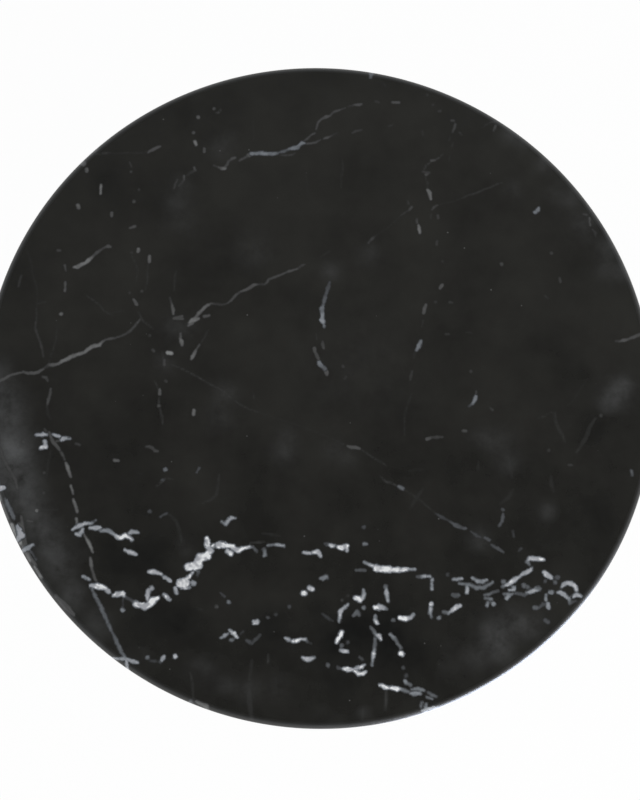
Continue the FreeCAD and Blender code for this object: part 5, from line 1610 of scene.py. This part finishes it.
def make_camera():
    """Looks almost straight down on the top from the near side."""
    lens = bpy.data.cameras.new("viewer")
    lens.lens = 75.76
    lens.sensor_width = 36.0
    lens.shift_x = -0.0018
    lens.shift_y = -0.0181
    viewer = new_object("viewer", lens)
    tilt, azimuth, distance = math.radians(10.96), math.radians(-103.4), 1.5
    away = Vector((math.cos(azimuth) * math.sin(tilt), math.sin(azimuth) * math.sin(tilt), math.cos(tilt)))
    viewer.location = Vector((0, 0, STONE_TOP * MM)) + away * distance
    right = Vector((0, 1, 0)).cross(away).normalized()
    viewer.rotation_euler = Matrix((right, away.cross(right), away)).transposed().to_euler()
    bpy.context.scene.camera = viewer


class TABLE_OT_stage(Operator):
    """Floor, backdrop, lamps and camera."""
    bl_idname = "table.stage"
    bl_label = "Stage"

    def execute(self, context):
        stage = context.scene.table_stage
        make_camera()
        make_floor()
        make_world()
        window = aimed_lamp("window", -51, 27, 2.0, (1.3, 1.0), stage.window_level, "#ffffff")
        window.visible_glossy = False
        mirrored = aimed_lamp("window_glare", -50, 27, 2.0, (1.15, 1.15), stage.gloss_level, "#ffffff")
        mirrored.visible_diffuse = False
        # the bright room below the level of the top, which only the stone's rounded edge mirrors; each row is
        # a lamp's name, azimuth, elevation, distance, size and radiance
        edge = bpy.data.collections.new("edge_glare")
        edge.objects.link(bpy.data.objects["stone_slab"])
        glare = stage.glare_level
        for row in (("horizon_glare", -50, -3.4, 2.0, (1.0, 0.2), glare * 2),
                    ("level_glare", -50, -13, 2.0, (1.0, 0.84), glare * 0.65),
                    ("floor_glare", -50, -36, 0.95, (0.6, 0.70), glare * 0.4),
                    ("low_glare", -50, -52, 0.80, (0.32, 0.4), glare * 0.14),
                    ("under_glare", -36, -60, 0.52, (0.32, 0.24), glare * 0.13)):
            lamp = aimed_lamp(*row, "#dfe7fa")
            lamp.visible_diffuse = False
            lamp.light_linking.receiver_collection = edge
        context.scene.view_settings.view_transform = "Standard"
        return {"FINISHED"}


# ======== add-on parts ========

class StoneSettings(PropertyGroup):
    """Sizes and colours of the stone top and its fixing."""
    upper_round: FloatProperty(name="Upper round", description="Rounding of the stone's upper edge",
                               default=5.0 * MM, min=0.5 * MM, max=9.0 * MM, unit="LENGTH")
    lower_round: FloatProperty(name="Lower round", description="Rounding of the stone's lower edge",
                               default=2.0 * MM, min=0.5 * MM, max=5.0 * MM, unit="LENGTH")
    dab_radius: FloatProperty(name="Dab radius", description="Radius of a pressed dab of adhesive",
                              default=16.0 * MM, min=8.0 * MM, max=16.0 * MM, unit="LENGTH")
    stone_dark: FloatVectorProperty(name="Dark stone", description="Darkest tone of the stone",
                                    default=linear("#1c1b18")[:3], subtype="COLOR")
    stone_light: FloatVectorProperty(name="Light stone", description="Lighter clouds of the stone",
                                     default=linear("#2b2a26")[:3], subtype="COLOR")


class FootSettings(PropertyGroup):
    """Sizes and colours of the column and the foot."""
    collar_round: FloatProperty(name="Collar round", description="Rounding of the trim collar's upper edge",
                                default=3.5 * MM, min=0.5 * MM, max=5.0 * MM, unit="LENGTH")
    coat_dark: FloatVectorProperty(name="Dark coat", description="Darker tone of the powder coat",
                                   default=linear("#1b1b1c")[:3], subtype="COLOR")
    coat_light: FloatVectorProperty(name="Light coat", description="Lighter tone of the powder coat",
                                    default=linear("#222223")[:3], subtype="COLOR")


class StageSettings(PropertyGroup):
    """Light and floor round the table."""
    floor_colour: FloatVectorProperty(name="Floor", description="Colour of the floor",
                                      default=linear("#f3f3f1")[:3], subtype="COLOR")
    room_level: FloatProperty(name="Room level", description="Strength of the room's soft light",
                              default=1.5, min=0.0)
    window_level: FloatProperty(name="Window level", description="Radiance of the window", default=6.0,
                                min=0.0)
    gloss_level: FloatProperty(name="Gloss level", description="Radiance of the window's mirror image",
                               default=0.5, min=0.0)
    glare_level: FloatProperty(name="Glare level", description="Radiance that the stone's edge mirrors",
                               default=20.0, min=0.0)


GROUPS = {"table_stone": StoneSettings, "table_foot": FootSettings, "table_stage": StageSettings}


STEPS = (
    TABLE_OT_marble_slab,
    TABLE_OT_adhesive_dabs,
    TABLE_OT_plywood_disc,
    TABLE_OT_spider,
    TABLE_OT_tee_nuts,
    TABLE_OT_washers,
    TABLE_OT_screws,
    TABLE_OT_column,
    TABLE_OT_tie_rod,
    TABLE_OT_centring_plug,
    TABLE_OT_trim_collar,
    TABLE_OT_base_cover,
    TABLE_OT_edge_guard,
    TABLE_OT_ballast_plate,
    TABLE_OT_foam_ring,
    TABLE_OT_glide_inserts,
    TABLE_OT_glides,
    TABLE_OT_stage,
)


class VIEW3D_PT_pedestal_table(Panel):
    """Lists the table's sizes, colours and pieces."""
    bl_label = "Pedestal table"
    bl_idname = "VIEW3D_PT_pedestal_table"
    bl_space_type = "VIEW_3D"
    bl_region_type = "UI"
    bl_category = "Table"

    def draw(self, context):
        for group, kind in GROUPS.items():
            for name in kind.__annotations__:
                self.layout.prop(getattr(context.scene, group), name)
        for step in STEPS:
            self.layout.operator(step.bl_idname)


CLASSES = (*GROUPS.values(), *STEPS, VIEW3D_PT_pedestal_table)


def register():
    for kind in CLASSES:
        bpy.utils.register_class(kind)
    for name, kind in GROUPS.items():
        setattr(bpy.types.Scene, name, PointerProperty(type=kind))


def unregister():
    for name in GROUPS:
        delattr(bpy.types.Scene, name)
    for kind in reversed(CLASSES):
        bpy.utils.unregister_class(kind)


def main():
    register()
    for step in STEPS:
        getattr(bpy.ops.table, step.bl_idname.split(".")[1])()


if __name__ == "__main__":
    main()
